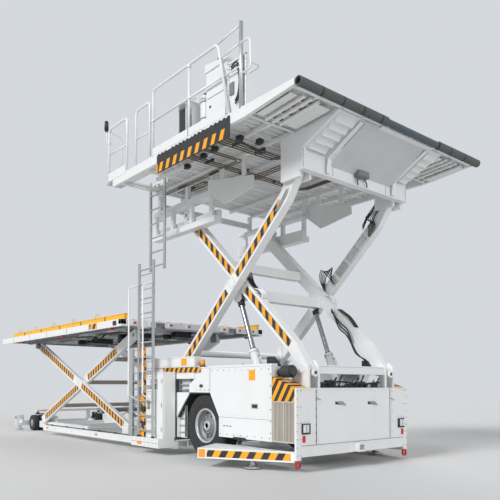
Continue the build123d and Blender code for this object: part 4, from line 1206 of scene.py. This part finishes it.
# small twin wheels at the tail: moulded rings, hub caps and forks' bolts
tailWheels = {"x": -8.64, "y": 0.95, "z": 0.22, "apart": 0.095, "radius": 0.22}


def addTailWheels(values):
    x, z = values["x"], values["z"]
    for side, s in (("right", -1), ("left", 1)):
        body = "rear_wheels_" + side
        marks, caps = [], []
        for dy in (-values["apart"], values["apart"]):
            centre = (x, s * values["y"] + dy, z)
            for a in (0.13, 0.18):
                for face in (-0.0755, 0.0755):
                    marks.append(latheChunk([(a - 0.005, face * 0.98), (a, face * 1.02),
                                             (a + 0.005, face * 0.98)], centre, 48))
        outer = s * (values["y"] + 0.160)
        caps.append(latheChunk([(0.105, 0.0), (0.105, s * 0.008), (0.070, s * 0.012), (0.050, s * 0.030),
                                (0.001, s * 0.034)], (x, outer, z), 36))
        for n in range(6):
            turn = n * math.pi / 3
            caps.append(rodChunk((x + 0.085 * math.cos(turn), outer, z + 0.085 * math.sin(turn)),
                                 (x + 0.085 * math.cos(turn), outer + s * 0.018,
                                  z + 0.085 * math.sin(turn)), 0.010, 6))
        addChunks("tailRings" + side, marks, body, "tyreRubber", True)
        addChunks("tailCaps" + side, caps, body, "rimSilver")


addTailWheels(tailWheels)
print("wheels dressed")

# right and left side covers: bolts, seams, filler cap, slots, plates
sides = {"face": 1.350}


def addSides(values):
    steel, dark, white, grey, beige, yellow = [], [], [], [], [], []
    for s in (-1, 1):
        y = s * values["face"]
        out = (0, s, 0)
        near, far = sorted((y, y + s * 0.0025))
        # edge strips and seams
        dark.append(boxChunk((0.196, 0.201), (near, far), (1.165, 1.598)))
        dark.append(boxChunk((1.776, 1.780), (near, far), (0.43, 1.595)))
        dark.append(boxChunk((0.46, 1.775), (near, far), (0.748, 0.751)))
        white.append(boxChunk((-0.242, 1.778), sorted((y, y + s * 0.010)), (1.578, 1.602)))
        white.append(boxChunk((0.70, 1.70), sorted((y, y + s * 0.004)), (0.79, 1.54)))
        steel += boltRow((0.26, y, 1.53), (1.70, y, 1.53), 10, out, 0.012)
        steel += boltRow((0.50, y, 0.47), (1.72, y, 0.47), 8, out, 0.012)
        steel += boltRow((1.745, y, 0.55), (1.745, y, 1.45), 6, out, 0.012)
        steel += boltRow((-0.20, y, 1.20), (0.16, y, 1.20), 4, out, 0.012)
        # oval filler cap and its ring, small slots, grey recess and blank plates
        turn = np.linspace(0, 2 * np.pi, 28, endpoint=False)
        oval = np.stack([-0.05 + 0.055 * np.cos(turn), 1.27 + 0.032 * np.sin(turn)], axis=1)
        inner = np.stack([-0.05 + 0.042 * np.cos(turn), 1.27 + 0.021 * np.sin(turn)], axis=1)
        steel.append(prismChunk(oval, *sorted((y, y + s * 0.010))))
        dark.append(prismChunk(inner, *sorted((y + s * 0.010, y + s * 0.013))))
        grey.append(boxChunk((1.30, 1.46), sorted((y, y + s * 0.005)), (0.91, 0.99)))
        dark.append(boxChunk((1.32, 1.44), sorted((y + s * 0.005, y + s * 0.007)), (0.925, 0.975)))
        for x in (0.58, 0.66, 0.74):
            dark.append(boxChunk((x, x + 0.045), (near, far), (0.60, 0.615)))
        yellow.append(boxChunk((1.24, 1.39), sorted((y + s * 0.004, y + s * 0.008)), (1.36, 1.52)))
        # black step bracket under the cover
        dark.append(boxChunk((0.86, 1.16), sorted((y, y + s * 0.022)), (0.405, 0.44)))
        dark.append(boxChunk((0.98, 1.06), sorted((y, y + s * 0.030)), (0.33, 0.405)))
        dark.append(rodChunk((1.02, y, 0.36), (1.02, y + s * 0.055, 0.36), 0.022, 16))
        steel.append(rodChunk((1.02, y + s * 0.055, 0.36), (1.02, y + s * 0.062, 0.36), 0.012, 6))
        # black edge of the arch
        arch = [(-0.80, 0.70), (-0.424, 1.150), (0.198, 1.160), (0.452, 0.752), (0.455, 0.42),
                (0.425, 0.42), (0.424, 0.744), (0.182, 1.134), (-0.410, 1.124), (-0.772, 0.70)]
        dark.append(prismChunk(arch, *sorted((y - s * 0.030, y - s * 0.012))))
        # frame and slats of the grille
        beige.append(boxChunk((1.781, 2.261), sorted((s * 1.334, s * 1.347)), (1.020, 1.040)))
        beige.append(boxChunk((1.781, 2.261), sorted((s * 1.334, s * 1.347)), (0.425, 0.445)))
        for x in (1.783, 2.02, 2.243):
            beige.append(boxChunk((x, x + 0.016), sorted((s * 1.334, s * 1.347)), (0.445, 1.020)))
    addChunks("coverBolts", steel, "chassis", "bareSteel")
    addChunks("coverDark", dark, "chassis", "blackPlastic")
    addChunks("coverPlates", white, "chassis", "whitePaint", bevel=0.0015)
    addChunks("coverRecess", grey, "chassis", "galvanised")
    addChunks("blankPlates", yellow, "chassis", "yellowMark")
    addChunks("grilleFrames", beige, "chassis", "grilleBeige", bevel=0.001)


addSides(sides)

# corner block fronts with slanted stripes on the outer face, lid and roof over the engine side


def addRoof():
    white, dark, grey = [], [], []
    for s in (-1, 1):
        white.append(boxChunk((0.20, 1.78), sorted((s * 1.236, s * 1.349)), (1.600, 1.612)))
        # black sloped cover and box by the foot of the arms
        dark.append(prismChunk([(1.50, 1.50), (1.74, 1.50), (1.74, 1.60), (1.60, 1.73), (1.50, 1.73)],
                               *sorted((s * 1.12, s * 1.21))))
        grey.append(boxChunk((0.95, 1.30), sorted((s * 1.14, s * 1.22)), (1.47, 1.56)))
    # dark shelf between covers, which carries hoses and valve blocks
    dark.append(boxChunk((0.20, 0.62), (-1.20, -1.08), (1.22, 1.25)))
    for x in (0.22, 0.36, 0.50):
        grey.append(boxChunk((x, x + 0.10), (-1.20, -1.10), (1.25, 1.40)))
    addChunks("roofWhite", white, "chassis", "whitePaint", bevel=0.003)
    addChunks("roofDark", dark, "chassis", "blackPlastic", bevel=0.006)
    addChunks("roofGrey", grey, "chassis", "greyPaint", bevel=0.005)
    # air cleaner: end cap, ribs and inlet
    cleaner = [latheRod((1.895, -1.215, 1.49), (1.880, -1.215, 1.49), 0.075),
               latheRod((2.085, -1.215, 1.49), (2.100, -1.215, 1.49), 0.086)]
    cleaner += [latheRod((x, -1.215, 1.49), (x + 0.010, -1.215, 1.49), 0.0975) for x in (1.925, 1.985,
                                                                                         2.045)]
    addChunks("cleanerRibs", cleaner, "chassis", "blackPlastic", True)
    pipe = [tubeChunk([(1.88, -1.215, 1.49), (1.78, -1.20, 1.47), (1.70, -1.14, 1.38),
                       (1.68, -1.0, 1.25)], 0.045, 16)]
    addChunks("cleanerPipe", pipe, "chassis", "hoseRubber", True)


def latheRod(start, end, radius):
    return rodChunk(start, end, radius, 28)


addRoof()

# step wings: striped outer edge with a white border, orange end, tread top
wings = {"outline": ((2.261, 1.351), (0.85, 2.07), (0.44, 1.40), (0.70, 1.351)), "z": (0.15, 0.31)}


def addWings(values):
    outline = [np.array(p) for p in values["outline"]]
    low, high = values["z"]
    for s, look in ((-1, "stripeWingRight"), (1, "stripeWingLeft")):
        marks, white, orange, tread, dark = [], [], [], [], []
        a, b = outline[0], outline[1]
        along = (b - a) / np.linalg.norm(b - a)
        out = np.array((along[1], -along[0]))
        out = out if out[1] > 0 else -out
        for start, end, z0, z1, proud, store in ((a + along * 0.06, b - along * 0.16, low + 0.028,
                                                  high - 0.028, 0.004, marks),
                                                 (b - along * 0.13, b - along * 0.02, low + 0.020,
                                                  high - 0.020, 0.004, orange),
                                                 (a + along * 0.02, b - along * 0.01, high - 0.016,
                                                  high - 0.002, 0.006, white),
                                                 (a + along * 0.02, b - along * 0.01, low + 0.002,
                                                  low + 0.016, 0.006, white)):
            flat = [start, end, end + out * proud, start + out * proud]
            store.append(prismChunk([(x, s * y) for x, y in flat], z0, z1, "z"))
        # tread pattern: short raised bars in rows over the top
        centre = sum(outline) / 4
        for i in range(9):
            for j in range(7):
                p = np.array((0.62 + 0.17 * i, 1.39 + 0.085 * j))
                if insideOutline(p, [centre + (q - centre) * 0.9 for q in outline]):
                    turn = 0.7 if (i + j) % 2 else -0.7
                    w = np.array((math.cos(turn), math.sin(turn))) * 0.022
                    v = np.array((-w[1], w[0])) * 0.22
                    tread.append(prismChunk([(q[0], s * q[1]) for q in (p - w - v, p + w - v, p + w + v,
                                                                        p - w + v)], high, high + 0.003,
                                                                        "z"))
        dark.append(rodChunk((1.5, s * 1.5, 0.041), (1.5, s * 1.5, 0.062), 0.075, 24))
        dark.append(rodChunk((1.5, s * 1.5, 0.120), (1.5, s * 1.5, 0.149), 0.060, 24))
        side = "Right" if s < 0 else "Left"
        addChunks("wingStripes" + side, marks, "chassis", look)
        addChunks("wingBorders" + side, white, "chassis", "whitePaint")
        addChunks("wingEnds" + side, orange, "chassis", "orangePaint")
        addChunks("wingTread" + side, tread, "chassis", "whitePaint")
        addChunks("footCollars" + side, dark, "chassis", "bareSteel", True)


def insideOutline(point, outline):
    # all cross products of edge and offset share one sign
    signs = [np.sign((q - p)[0] * (point - p)[1] - (q - p)[1] * (point - p)[0]) for p,
             q in zip(outline, outline[1:] + outline[:1])]
    return len(set(signs)) == 1


addWings(wings)

# cabinets beside the scissor foot: doors, vents, handles, hinges
cabinets = {"x": (-1.41, -0.83), "face": 1.650, "z": (0.311, 1.51)}


def addCabinets(values):
    x0, x1 = values["x"]
    z0, z1 = values["z"]
    white, dark, steel = [], [], []
    for s in (-1, 1):
        y = s * values["face"]
        white.append(boxChunk((x0 + 0.035, x1 - 0.035), sorted((y, y + s * 0.010)),
                              (z0 + 0.05, z1 - 0.05)))
        white.append(boxChunk((x0 - 0.008, x1 + 0.012), sorted((s * 1.375, y + s * 0.014)),
                              (z1, z1 + 0.018)))
        for i in range(7):
            z = 1.22 + 0.026 * i
            dark.append(boxChunk((x0 + 0.16, x1 - 0.16), sorted((y + s * 0.010, y + s * 0.0125)),
                                 (z, z + 0.010)))
            white.append(boxChunk((x0 + 0.15, x1 - 0.15), sorted((y + s * 0.010, y + s * 0.020)),
                                  (z + 0.010, z + 0.016)))
        dark.append(boxChunk((x0 + 0.06, x0 + 0.14), sorted((y + s * 0.010, y + s * 0.012)),
                             (0.84, 0.98)))
        steel.append(boxChunk((x0 + 0.075, x0 + 0.125), sorted((y + s * 0.012, y + s * 0.026)),
                              (0.86, 0.96)))
        for z in (0.48, 0.92, 1.36):
            steel.append(rodChunk((x1 - 0.028, y + s * 0.008, z - 0.04),
                                  (x1 - 0.028, y + s * 0.008, z + 0.04), 0.011, 12))
        # front face of the cabinet: door with a blank plate
        white.append(boxChunk((x1, x1 + 0.008), sorted((s * 1.41, s * 1.62)), (z0 + 0.06, z1 - 0.06)))
        # sill: seam, bolts and dark end
        dark.append(boxChunk((-1.80, -0.83), sorted((s * 1.745, s * 1.7475)), (0.222, 0.226)))
        steel += boltRow((-1.74, s * 1.745, 0.275), (-0.89, s * 1.745, 0.275), 7, (0, s, 0), 0.010)
        steel += boltRow((-1.30, s * 1.745, 0.175), (-0.89, s * 1.745, 0.175), 4, (0, s, 0), 0.010)
    addChunks("cabinetPlates", white, "chassis", "whitePaint", bevel=0.002)
    addChunks("cabinetDark", dark, "chassis", "blackPlastic")
    addChunks("cabinetSteel", steel, "chassis", "galvanised")
    # amber beacon on the side of the track, with its cable
    beacon = [rodChunk((-0.10, -1.285, 1.60), (-0.10, -1.285, 1.625), 0.055, 24)]
    lens = [rodChunk((-0.10, -1.285, 1.625), (-0.10, -1.285, 1.735), 0.047, 24, 0.038)]
    cable = [tubeChunk([(-0.10, -1.24, 1.61), (-0.13, -1.18, 1.60), (-0.20, -1.15, 1.48),
                        (-0.22, -1.18, 1.38)], 0.010)]
    addChunks("beaconBase", beacon, "chassis", "blackPlastic", True)
    addChunks("beaconLens", lens, "chassis", "amberLens", True)
    addChunks("beaconCable", cable, "chassis", "hoseRubber", True)


addCabinets(cabinets)

# channel tracks: lips, blank plates and stiffeners on the outside, roller ends
tracks = {"x": (-2.03, -0.25), "out": 1.360}


def addTracks(values):
    x0, x1 = values["x"]
    white, dark = [], []
    for s in (-1, 1):
        y = s * values["out"]
        white.append(boxChunk((x0, x1), sorted((y, y + s * 0.010)), (1.782, 1.800)))
        white.append(boxChunk((-0.78, -0.54), sorted((y, y + s * 0.006)), (1.64, 1.77)))
        for x in (-1.95, -1.35, -0.42):
            white.append(boxChunk((x, x + 0.016), sorted((y, y + s * 0.020)), (1.61, 1.782)))
        dark.append(boxChunk((x0 + 0.01, x1), sorted((y, y + s * 0.003)), (1.604, 1.609)))
        # recessed step: side rails and a slanted strut
        white.append(slantBar((-0.80, 0.76), (-0.44, 1.14), s * 1.33, s * 1.345))
    addChunks("trackLips", white, "chassis", "whitePaint", bevel=0.002)
    addChunks("trackSeams", dark, "chassis", "blackPlastic")
    recess, rungs = [], []
    for s in (-1, 1):
        recess.append(boxChunk((-0.826, -0.60), sorted((s * 1.262, s * 1.270)), (0.32, 1.145)))
        recess.append(boxChunk((-0.815, -0.425), sorted((s * 1.245, s * 1.255)), (1.158, 1.395)))
        recess.append(boxChunk((-0.822, -0.806), sorted((s * 1.271, s * 1.345)), (0.33, 0.69)))
        rungs += [rodChunk((-0.805, s * 1.292, z), (-0.610, s * 1.292, z), 0.011,
                           10) for z in np.arange(0.42, 1.12, 0.125)]
        rungs.append(boxChunk((-0.622, -0.604), sorted((s * 1.275, s * 1.308)), (0.34, 1.14)))
    addChunks("stepRecess", recess, "chassis", "whitePaint", bevel=0.002)
    addChunks("stepRungs", rungs, "chassis", "galvanised")
    treads = [rodChunk((x, s * 1.29, z), (x + 0.012, s * 1.29, z), 0.0165, 12)
              for s in (-1, 1) for z in (1.200, 1.290, 1.380) for x in np.arange(-0.76, -0.48, 0.028)]
    addChunks("stepGrips", treads, "chassis", "galvanised", True)


def slantBar(start, end, y0, y1, wide=0.016):
    start, end = np.array(start), np.array(end)
    way = (end - start) / np.linalg.norm(end - start)
    side = np.array((-way[1], way[0])) * wide
    return prismChunk([start - side, end - side, end + side, start + side], *sorted((y0, y1)))


addTracks(tracks)

# hooks, chains, ladder rung grips and mast caps
ladders = {"x": (-1.57, -1.055), "y": -1.72}


def addLadders(values):
    x0, x1 = values["x"]
    y = values["y"]
    grips, caps, dark = [], [], []
    for z in np.arange(0.60, 3.55, 0.275):
        grips += [boxChunk((x, x + 0.010), (y - 0.017, y + 0.017),
                           (z + 0.012, z + 0.020)) for x in np.arange(x0 + 0.06, x1 - 0.05, 0.03)]
    for x in (x0, x1):
        caps.append(boxChunk((x - 0.032, x + 0.032), (y - 0.017, y + 0.017), (3.596, 3.606)))
        dark.append(boxChunk((x - 0.033, x + 0.033), (y - 0.018, y + 0.018), (0.312, 0.345)))
    for z in (1.3, 3.0):
        caps.append(boxChunk((x0 - 0.032, x0 + 0.032), (y - 0.02, y + 0.02), (z, z + 0.05)))
        caps.append(boxChunk((x1 - 0.032, x1 + 0.032), (y - 0.02, y + 0.02), (z, z + 0.05)))
    addChunks("ladderGrips", grips, "chassis", "galvanised")
    addChunks("ladderCaps", caps, "chassis", "galvanised", bevel=0.002)
    addChunks("ladderShoes", dark, "chassis", "blackPlastic")


addLadders(ladders)
print("chassis dressed")

# yellow-black cover of the guard post
addChunks("postStripes", [boxChunk((-1.541, -1.419), (-1.6915, -1.690), (0.315, 1.988))], "chassis",
          "stripePost")
addChunks("trackPlate", [boxChunk((-0.66, -0.50), (-1.3685, -1.366), (1.645, 1.765))], "chassis",
          "yellowMark")

# main platform: white edge, stops, roller tops, guides with loops, gear underneath
platform = {
    "x": (-8.95, -2.05),
    "half": 1.85,
    "top": 2.59,
    "edge": 0.145,
    "guide": (1.70, 1.76),
}


def addPlatform(values):
    (x0, x1), half, top, edge = values["x"], values["half"], values["top"], values["edge"]
    white, dark, yellow, red, loops, marks = [], [], [], [], [], []
    for s in (-1, 1):
        y = s * half
        white.append(boxChunk((x0 + 0.01, x1 - 0.12), sorted((y, y + s * 0.008)),
                              (top - edge + 0.02, top - 0.002)))
        white.append(boxChunk((x0 + 0.01, x1 - 0.12), sorted((y - s * 0.03, y + s * 0.010)),
                              (top - edge, top - edge + 0.02)))
        # corner block at the front, cut at a slant, with a dark latch
        white.append(prismChunk([(x1 - 0.12, y), (x1 - 0.12, y + s * 0.012), (x1 - 0.02, y - s * 0.05),
                                 (x1 + 0.006, y - s * 0.14), (x1, y - s * 0.14), (x1, y)],
                                top - edge, top - 0.002, "z"))
        dark.append(boxChunk((x1 - 0.30, x1 - 0.17), sorted((y + s * 0.010, y + s * 0.022)),
                             (top - 0.115, top - 0.03)))
        # small dark joints between the edge sections
        for x in np.arange(x0 + 0.9, x1 - 0.5, 1.15):
            dark.append(boxChunk((x, x + 0.012), sorted((y + s * 0.008, y + s * 0.0095)),
                                 (top - edge + 0.02, top - 0.004)))
        # hazard mark towards the front
        marks.append(boxChunk((-3.42, -3.06), sorted((y + s * 0.008, y + s * 0.011)),
                              (top - 0.125, top - 0.012)))
        # yellow guide rail: head, joints and hoops
        g0, g1 = values["guide"]
        yellow.append(boxChunk((-8.32, x1 - 0.02), sorted((s * (g0 - 0.012), s * (g1 + 0.012))),
                               (top + 0.098, top + 0.114)))
        for x in np.arange(-8.0, x1 - 0.3, 1.15):
            loops.append(bentChunk([(x, s * 1.73, top + 0.105), (x + 0.02, s * 1.73, top + 0.20),
                                    (x + 0.16, s * 1.73, top + 0.20), (x + 0.18, s * 1.73, top + 0.105)],
                                   0.009, 0.05))
            dark.append(boxChunk((x + 0.50, x + 0.508), sorted((s * (g1 + 0.001), s * (g1 + 0.013))),
                                 (top + 0.004, top + 0.112)))
        # red brackets under the edge
        for x in (-7.6, -5.0, -2.6):
            red.append(prismChunk([(x, top - edge), (x + 0.11, top - edge),
                                   (x + 0.08, top - edge - 0.045), (x + 0.02, top - edge - 0.035)],
                                  *sorted((y - s * 0.10, y - s * 0.02))))
    # front edge: white stops with red tips, steel lip
    for y in (-1.55, -1.15, -0.7, -0.25, 0.25, 0.7, 1.15, 1.55):
        white.append(boxChunk((x1, x1 + 0.026), (y - 0.07, y + 0.07), (top - 0.11, top - 0.02)))
        red.append(boxChunk((x1 + 0.026, x1 + 0.031), (y - 0.030, y + 0.030),
                            (top - 0.085, top - 0.045)))
    for low, high in ((-1.70, -1.06), (-0.84, 0.84), (1.06, 1.70)):
        white.append(boxChunk((x1, x1 + 0.010), (low, high), (top - 0.13, top - 0.002)))
    addChunks("platformEdge", white, "platform", "whitePaint", bevel=0.004)
    addChunks("platformDark", dark, "platform", "blackPlastic")
    addChunks("platformMark", marks, "platform", "hazardRight")
    addChunks("guideHeads", yellow, "platform", "yellowPaint", bevel=0.004)
    addChunks("guideLoops", loops, "platform", "yellowPaint", True)
    addChunks("platformRed", red, "platform", "redPaint", bevel=0.003)


addPlatform(platform)

# rows of rollers on the platform's and the bridge's decks, set in trays
rollerRows = {"radius": 0.028, "pitch": 0.30, "lanes": (-1.35, -0.75, -0.2, 0.35, 0.9, 1.45)}


def addRollers(values):
    r = values["radius"]
    for name, body, x0, x1, top in (("platform", "platform", -8.75, -2.25, 2.59),
                                    ("bridge", "bridge", -0.85, 2.95, 5.20)):
        rollers, trays = [], []
        for y in values["lanes"]:
            trays.append(boxChunk((x0 - 0.05, x1 + 0.05), (y - 0.125, y - 0.110), (top, top + 0.030)))
            trays.append(boxChunk((x0 - 0.05, x1 + 0.05), (y + 0.110, y + 0.125), (top, top + 0.030)))
            rollers += [rodChunk((x, y - 0.108, top + 0.020), (x, y + 0.108, top + 0.020), r,
                                 14) for x in np.arange(x0, x1, values["pitch"])]
        addChunks(name + "Rollers", rollers, body, "galvanised", True)
        addChunks(name + "Trays", trays, body, "greyPaint")


addRollers(rollerRows)

# drives, chains and lines under the platform
gear = {"high": (2.36, 2.52)}


def addGear(values):
    low, high = values["high"]
    dark, tubes, hoses, pale = [], [], [], []
    for x, y, wide, deep in ((-4.6, -0.3, 0.9, 0.5), (-5.6, 0.25, 0.7, 0.5), (-6.9, -0.2, 0.8, 0.6),
                             (-3.6, 0.35, 0.5, 0.4)):
        dark.append(boxChunk((x, x + wide), (y - deep / 2, y + deep / 2), (low + 0.03, high)))
        dark.append(rodChunk((x + wide * 0.3, y - deep / 2 - 0.12, low + 0.08),
                             (x + wide * 0.3, y + deep / 2 + 0.12, low + 0.08), 0.065, 18))
        dark.append(rodChunk((x + wide * 0.75, y - deep / 2 - 0.06, low + 0.10),
                             (x + wide * 0.75, y + deep / 2 + 0.06, low + 0.10), 0.045, 16))
    # cross beams under the deck, in the shaded white: painted shade under the platform
    for x in (-7.9, -6.2, -4.9, -3.4, -2.5):
        pale.append(prismChunk([(x, 2.555), (x + 0.09, 2.555), (x + 0.07, 2.47), (x + 0.02, 2.47)],
                               -1.30, 1.30))
    for y in (-0.95, 0.95):
        tubes.append(bentChunk([(-8.6, y, 2.49), (-2.3, y, 2.49)], 0.016))
        tubes.append(bentChunk([(-8.6, y - 0.06, 2.49), (-2.3, y - 0.06, 2.49)], 0.012))
    for i in range(3):
        hoses.append(tubeChunk([(-4.95 - 0.05 * i, -0.90, 2.50), (-5.0 - 0.05 * i, -0.92, 2.43),
                                (-4.75, -0.93, 2.41), (-4.62 + 0.04 * i, -0.90, 2.50)], 0.014))
    addChunks("gearDrives", dark, "platform", "blackPlastic", bevel=0.006)
    addChunks("gearBeams", pale, "platform", "shadedWhite")
    addChunks("gearPipes", tubes, "platform", "darkSteel", True)
    addChunks("gearHoses", hoses, "platform", "hoseRubber", True)


addGear(gear)

# low frame: pipe with fittings along the rail, lamp bracket and lens at the tail
lowFrame = {"y": 1.40, "z": 0.262}


def addLowFrame(values):
    y, z = values["y"], values["z"]
    pipes, blocks, white, red, steel = [], [], [], [], []
    for s in (-1, 1):
        pipes.append(bentChunk([(-6.95, s * (y - 0.03), z), (-1.05, s * (y - 0.03), z)], 0.010))
        for x in (-6.6, -5.7, -4.75, -3.95, -3.2, -2.1, -1.4):
            blocks.append(boxChunk((x, x + 0.07), sorted((s * (y - 0.055), s * (y - 0.005))),
                                   (0.250, 0.278)))
        white.append(boxChunk((-7.055, -0.84), sorted((s * y, s * (y + 0.004))), (0.236, 0.250)))
        white.append(boxChunk((-7.055, -0.84), sorted((s * y, s * (y + 0.004))), (0.110, 0.122)))
        white.append(boxChunk((-7.07, -7.06), sorted((s * 1.306, s * 1.404)), (0.106, 0.254)))
        steel += boltRow((-6.3, s * (y + 0.001), 0.18), (-1.3, s * (y + 0.001), 0.18), 6, (0, s, 0),
                         0.012)
        # tail bracket: side lens, cross handle and plate
        red.append(boxChunk((-9.145, -9.095), sorted((s * 1.400, s * 1.410)), (0.315, 0.405)))
        red.append(rodChunk((-9.12, s * 1.41, 0.36), (-9.12, s * 1.416, 0.36), 0.020, 16))
        steel.append(rodChunk((-9.02, s * 1.265, 0.300), (-9.02, s * 1.265, 0.37), 0.016, 12))
        steel.append(rodChunk((-9.07, s * 1.265, 0.365), (-8.97, s * 1.265, 0.365), 0.012, 12))
    addChunks("lowPipes", pipes, "chassis", "hoseRubber", True)
    addChunks("lowFittings", blocks, "chassis", "blackPlastic")
    addChunks("lowEdges", white, "chassis", "whitePaint")
    addChunks("tailLenses", red, "chassis", "redLens")
    addChunks("lowSteel", steel, "chassis", "galvanised")


addLowFrame(lowFrame)
print("platform dressed")

# floor, lamps and world
light = {
    # sun: where it stands, softness in radians, strength
    "key": ((0, -19, 12), 0.35, 2.25),
    "fill": ((20, -3, 6), 0.60, 1.1),
    "back": ((-14, 12, 16), 0.60, 0.6),
}

surround = {
    "half": 60, "floor": (0.70, 0.70, 0.70), "floorRough": 0.85,
    "worldLight": (0.93, 0.95, 0.98), "worldStrength": 0.31,
    "sky": (0.66, 0.69, 0.73), "skyStrength": 1.0,
}


def addStage(lamps, values):
    half = values["half"]
    floor = meshOf("floor", [(-half, -half, 0), (half, -half, 0), (half, half, 0), (-half, half, 0)],
                   [(0, 1, 2, 3)])
    piece = bpy.data.objects.new("floor", floor)
    bpy.context.scene.collection.objects.link(piece)
    material = bpy.data.materials.new("floorPale")
    material.use_nodes = True
    shader = material.node_tree.nodes["Principled BSDF"]
    shader.inputs["Base Color"].default_value = (*values["floor"], 1)
    shader.inputs["Roughness"].default_value = values["floorRough"]
    floor.materials.append(material)
    for name, (place, soft, strength) in lamps.items():
        lamp = bpy.data.lights.new(name, "SUN")
        lamp.angle = soft
        lamp.energy = strength
        holder = bpy.data.objects.new(name, lamp)
        bpy.context.scene.collection.objects.link(holder)
        holder.location = place
        holder.rotation_euler = (-Vector(place)).to_track_quat("-Z", "Y").to_euler()
    world = bpy.data.worlds.new("world")
    bpy.context.scene.world = world
    world.use_nodes = True
    background = world.node_tree.nodes["Background"]
    background.inputs["Color"].default_value = (*values["worldLight"], 1)
    background.inputs["Strength"].default_value = values["worldStrength"]
    # seen by the camera, in reflections or through glass, the sky is plain and pale
    tree = world.node_tree
    pale = tree.nodes.new("ShaderNodeBackground")
    pale.inputs["Color"].default_value = (*values["sky"], 1)
    pale.inputs["Strength"].default_value = values["skyStrength"]
    path = tree.nodes.new("ShaderNodeLightPath")
    either = tree.nodes.new("ShaderNodeMath")
    either.operation = "MAXIMUM"
    anyRay = tree.nodes.new("ShaderNodeMath")
    anyRay.operation = "MAXIMUM"
    mix = tree.nodes.new("ShaderNodeMixShader")
    tree.links.new(path.outputs["Is Camera Ray"], either.inputs[0])
    tree.links.new(path.outputs["Is Glossy Ray"], either.inputs[1])
    tree.links.new(either.outputs["Value"], anyRay.inputs[0])
    tree.links.new(path.outputs["Is Transmission Ray"], anyRay.inputs[1])
    tree.links.new(anyRay.outputs["Value"], mix.inputs["Fac"])
    tree.links.new(background.outputs["Background"], mix.inputs[1])
    tree.links.new(pale.outputs["Background"], mix.inputs[2])
    tree.links.new(mix.outputs["Shader"], tree.nodes["World Output"].inputs["Surface"])


addStage(light, surround)
bpy.context.scene.view_settings.view_transform = "Standard"
print("stage set")
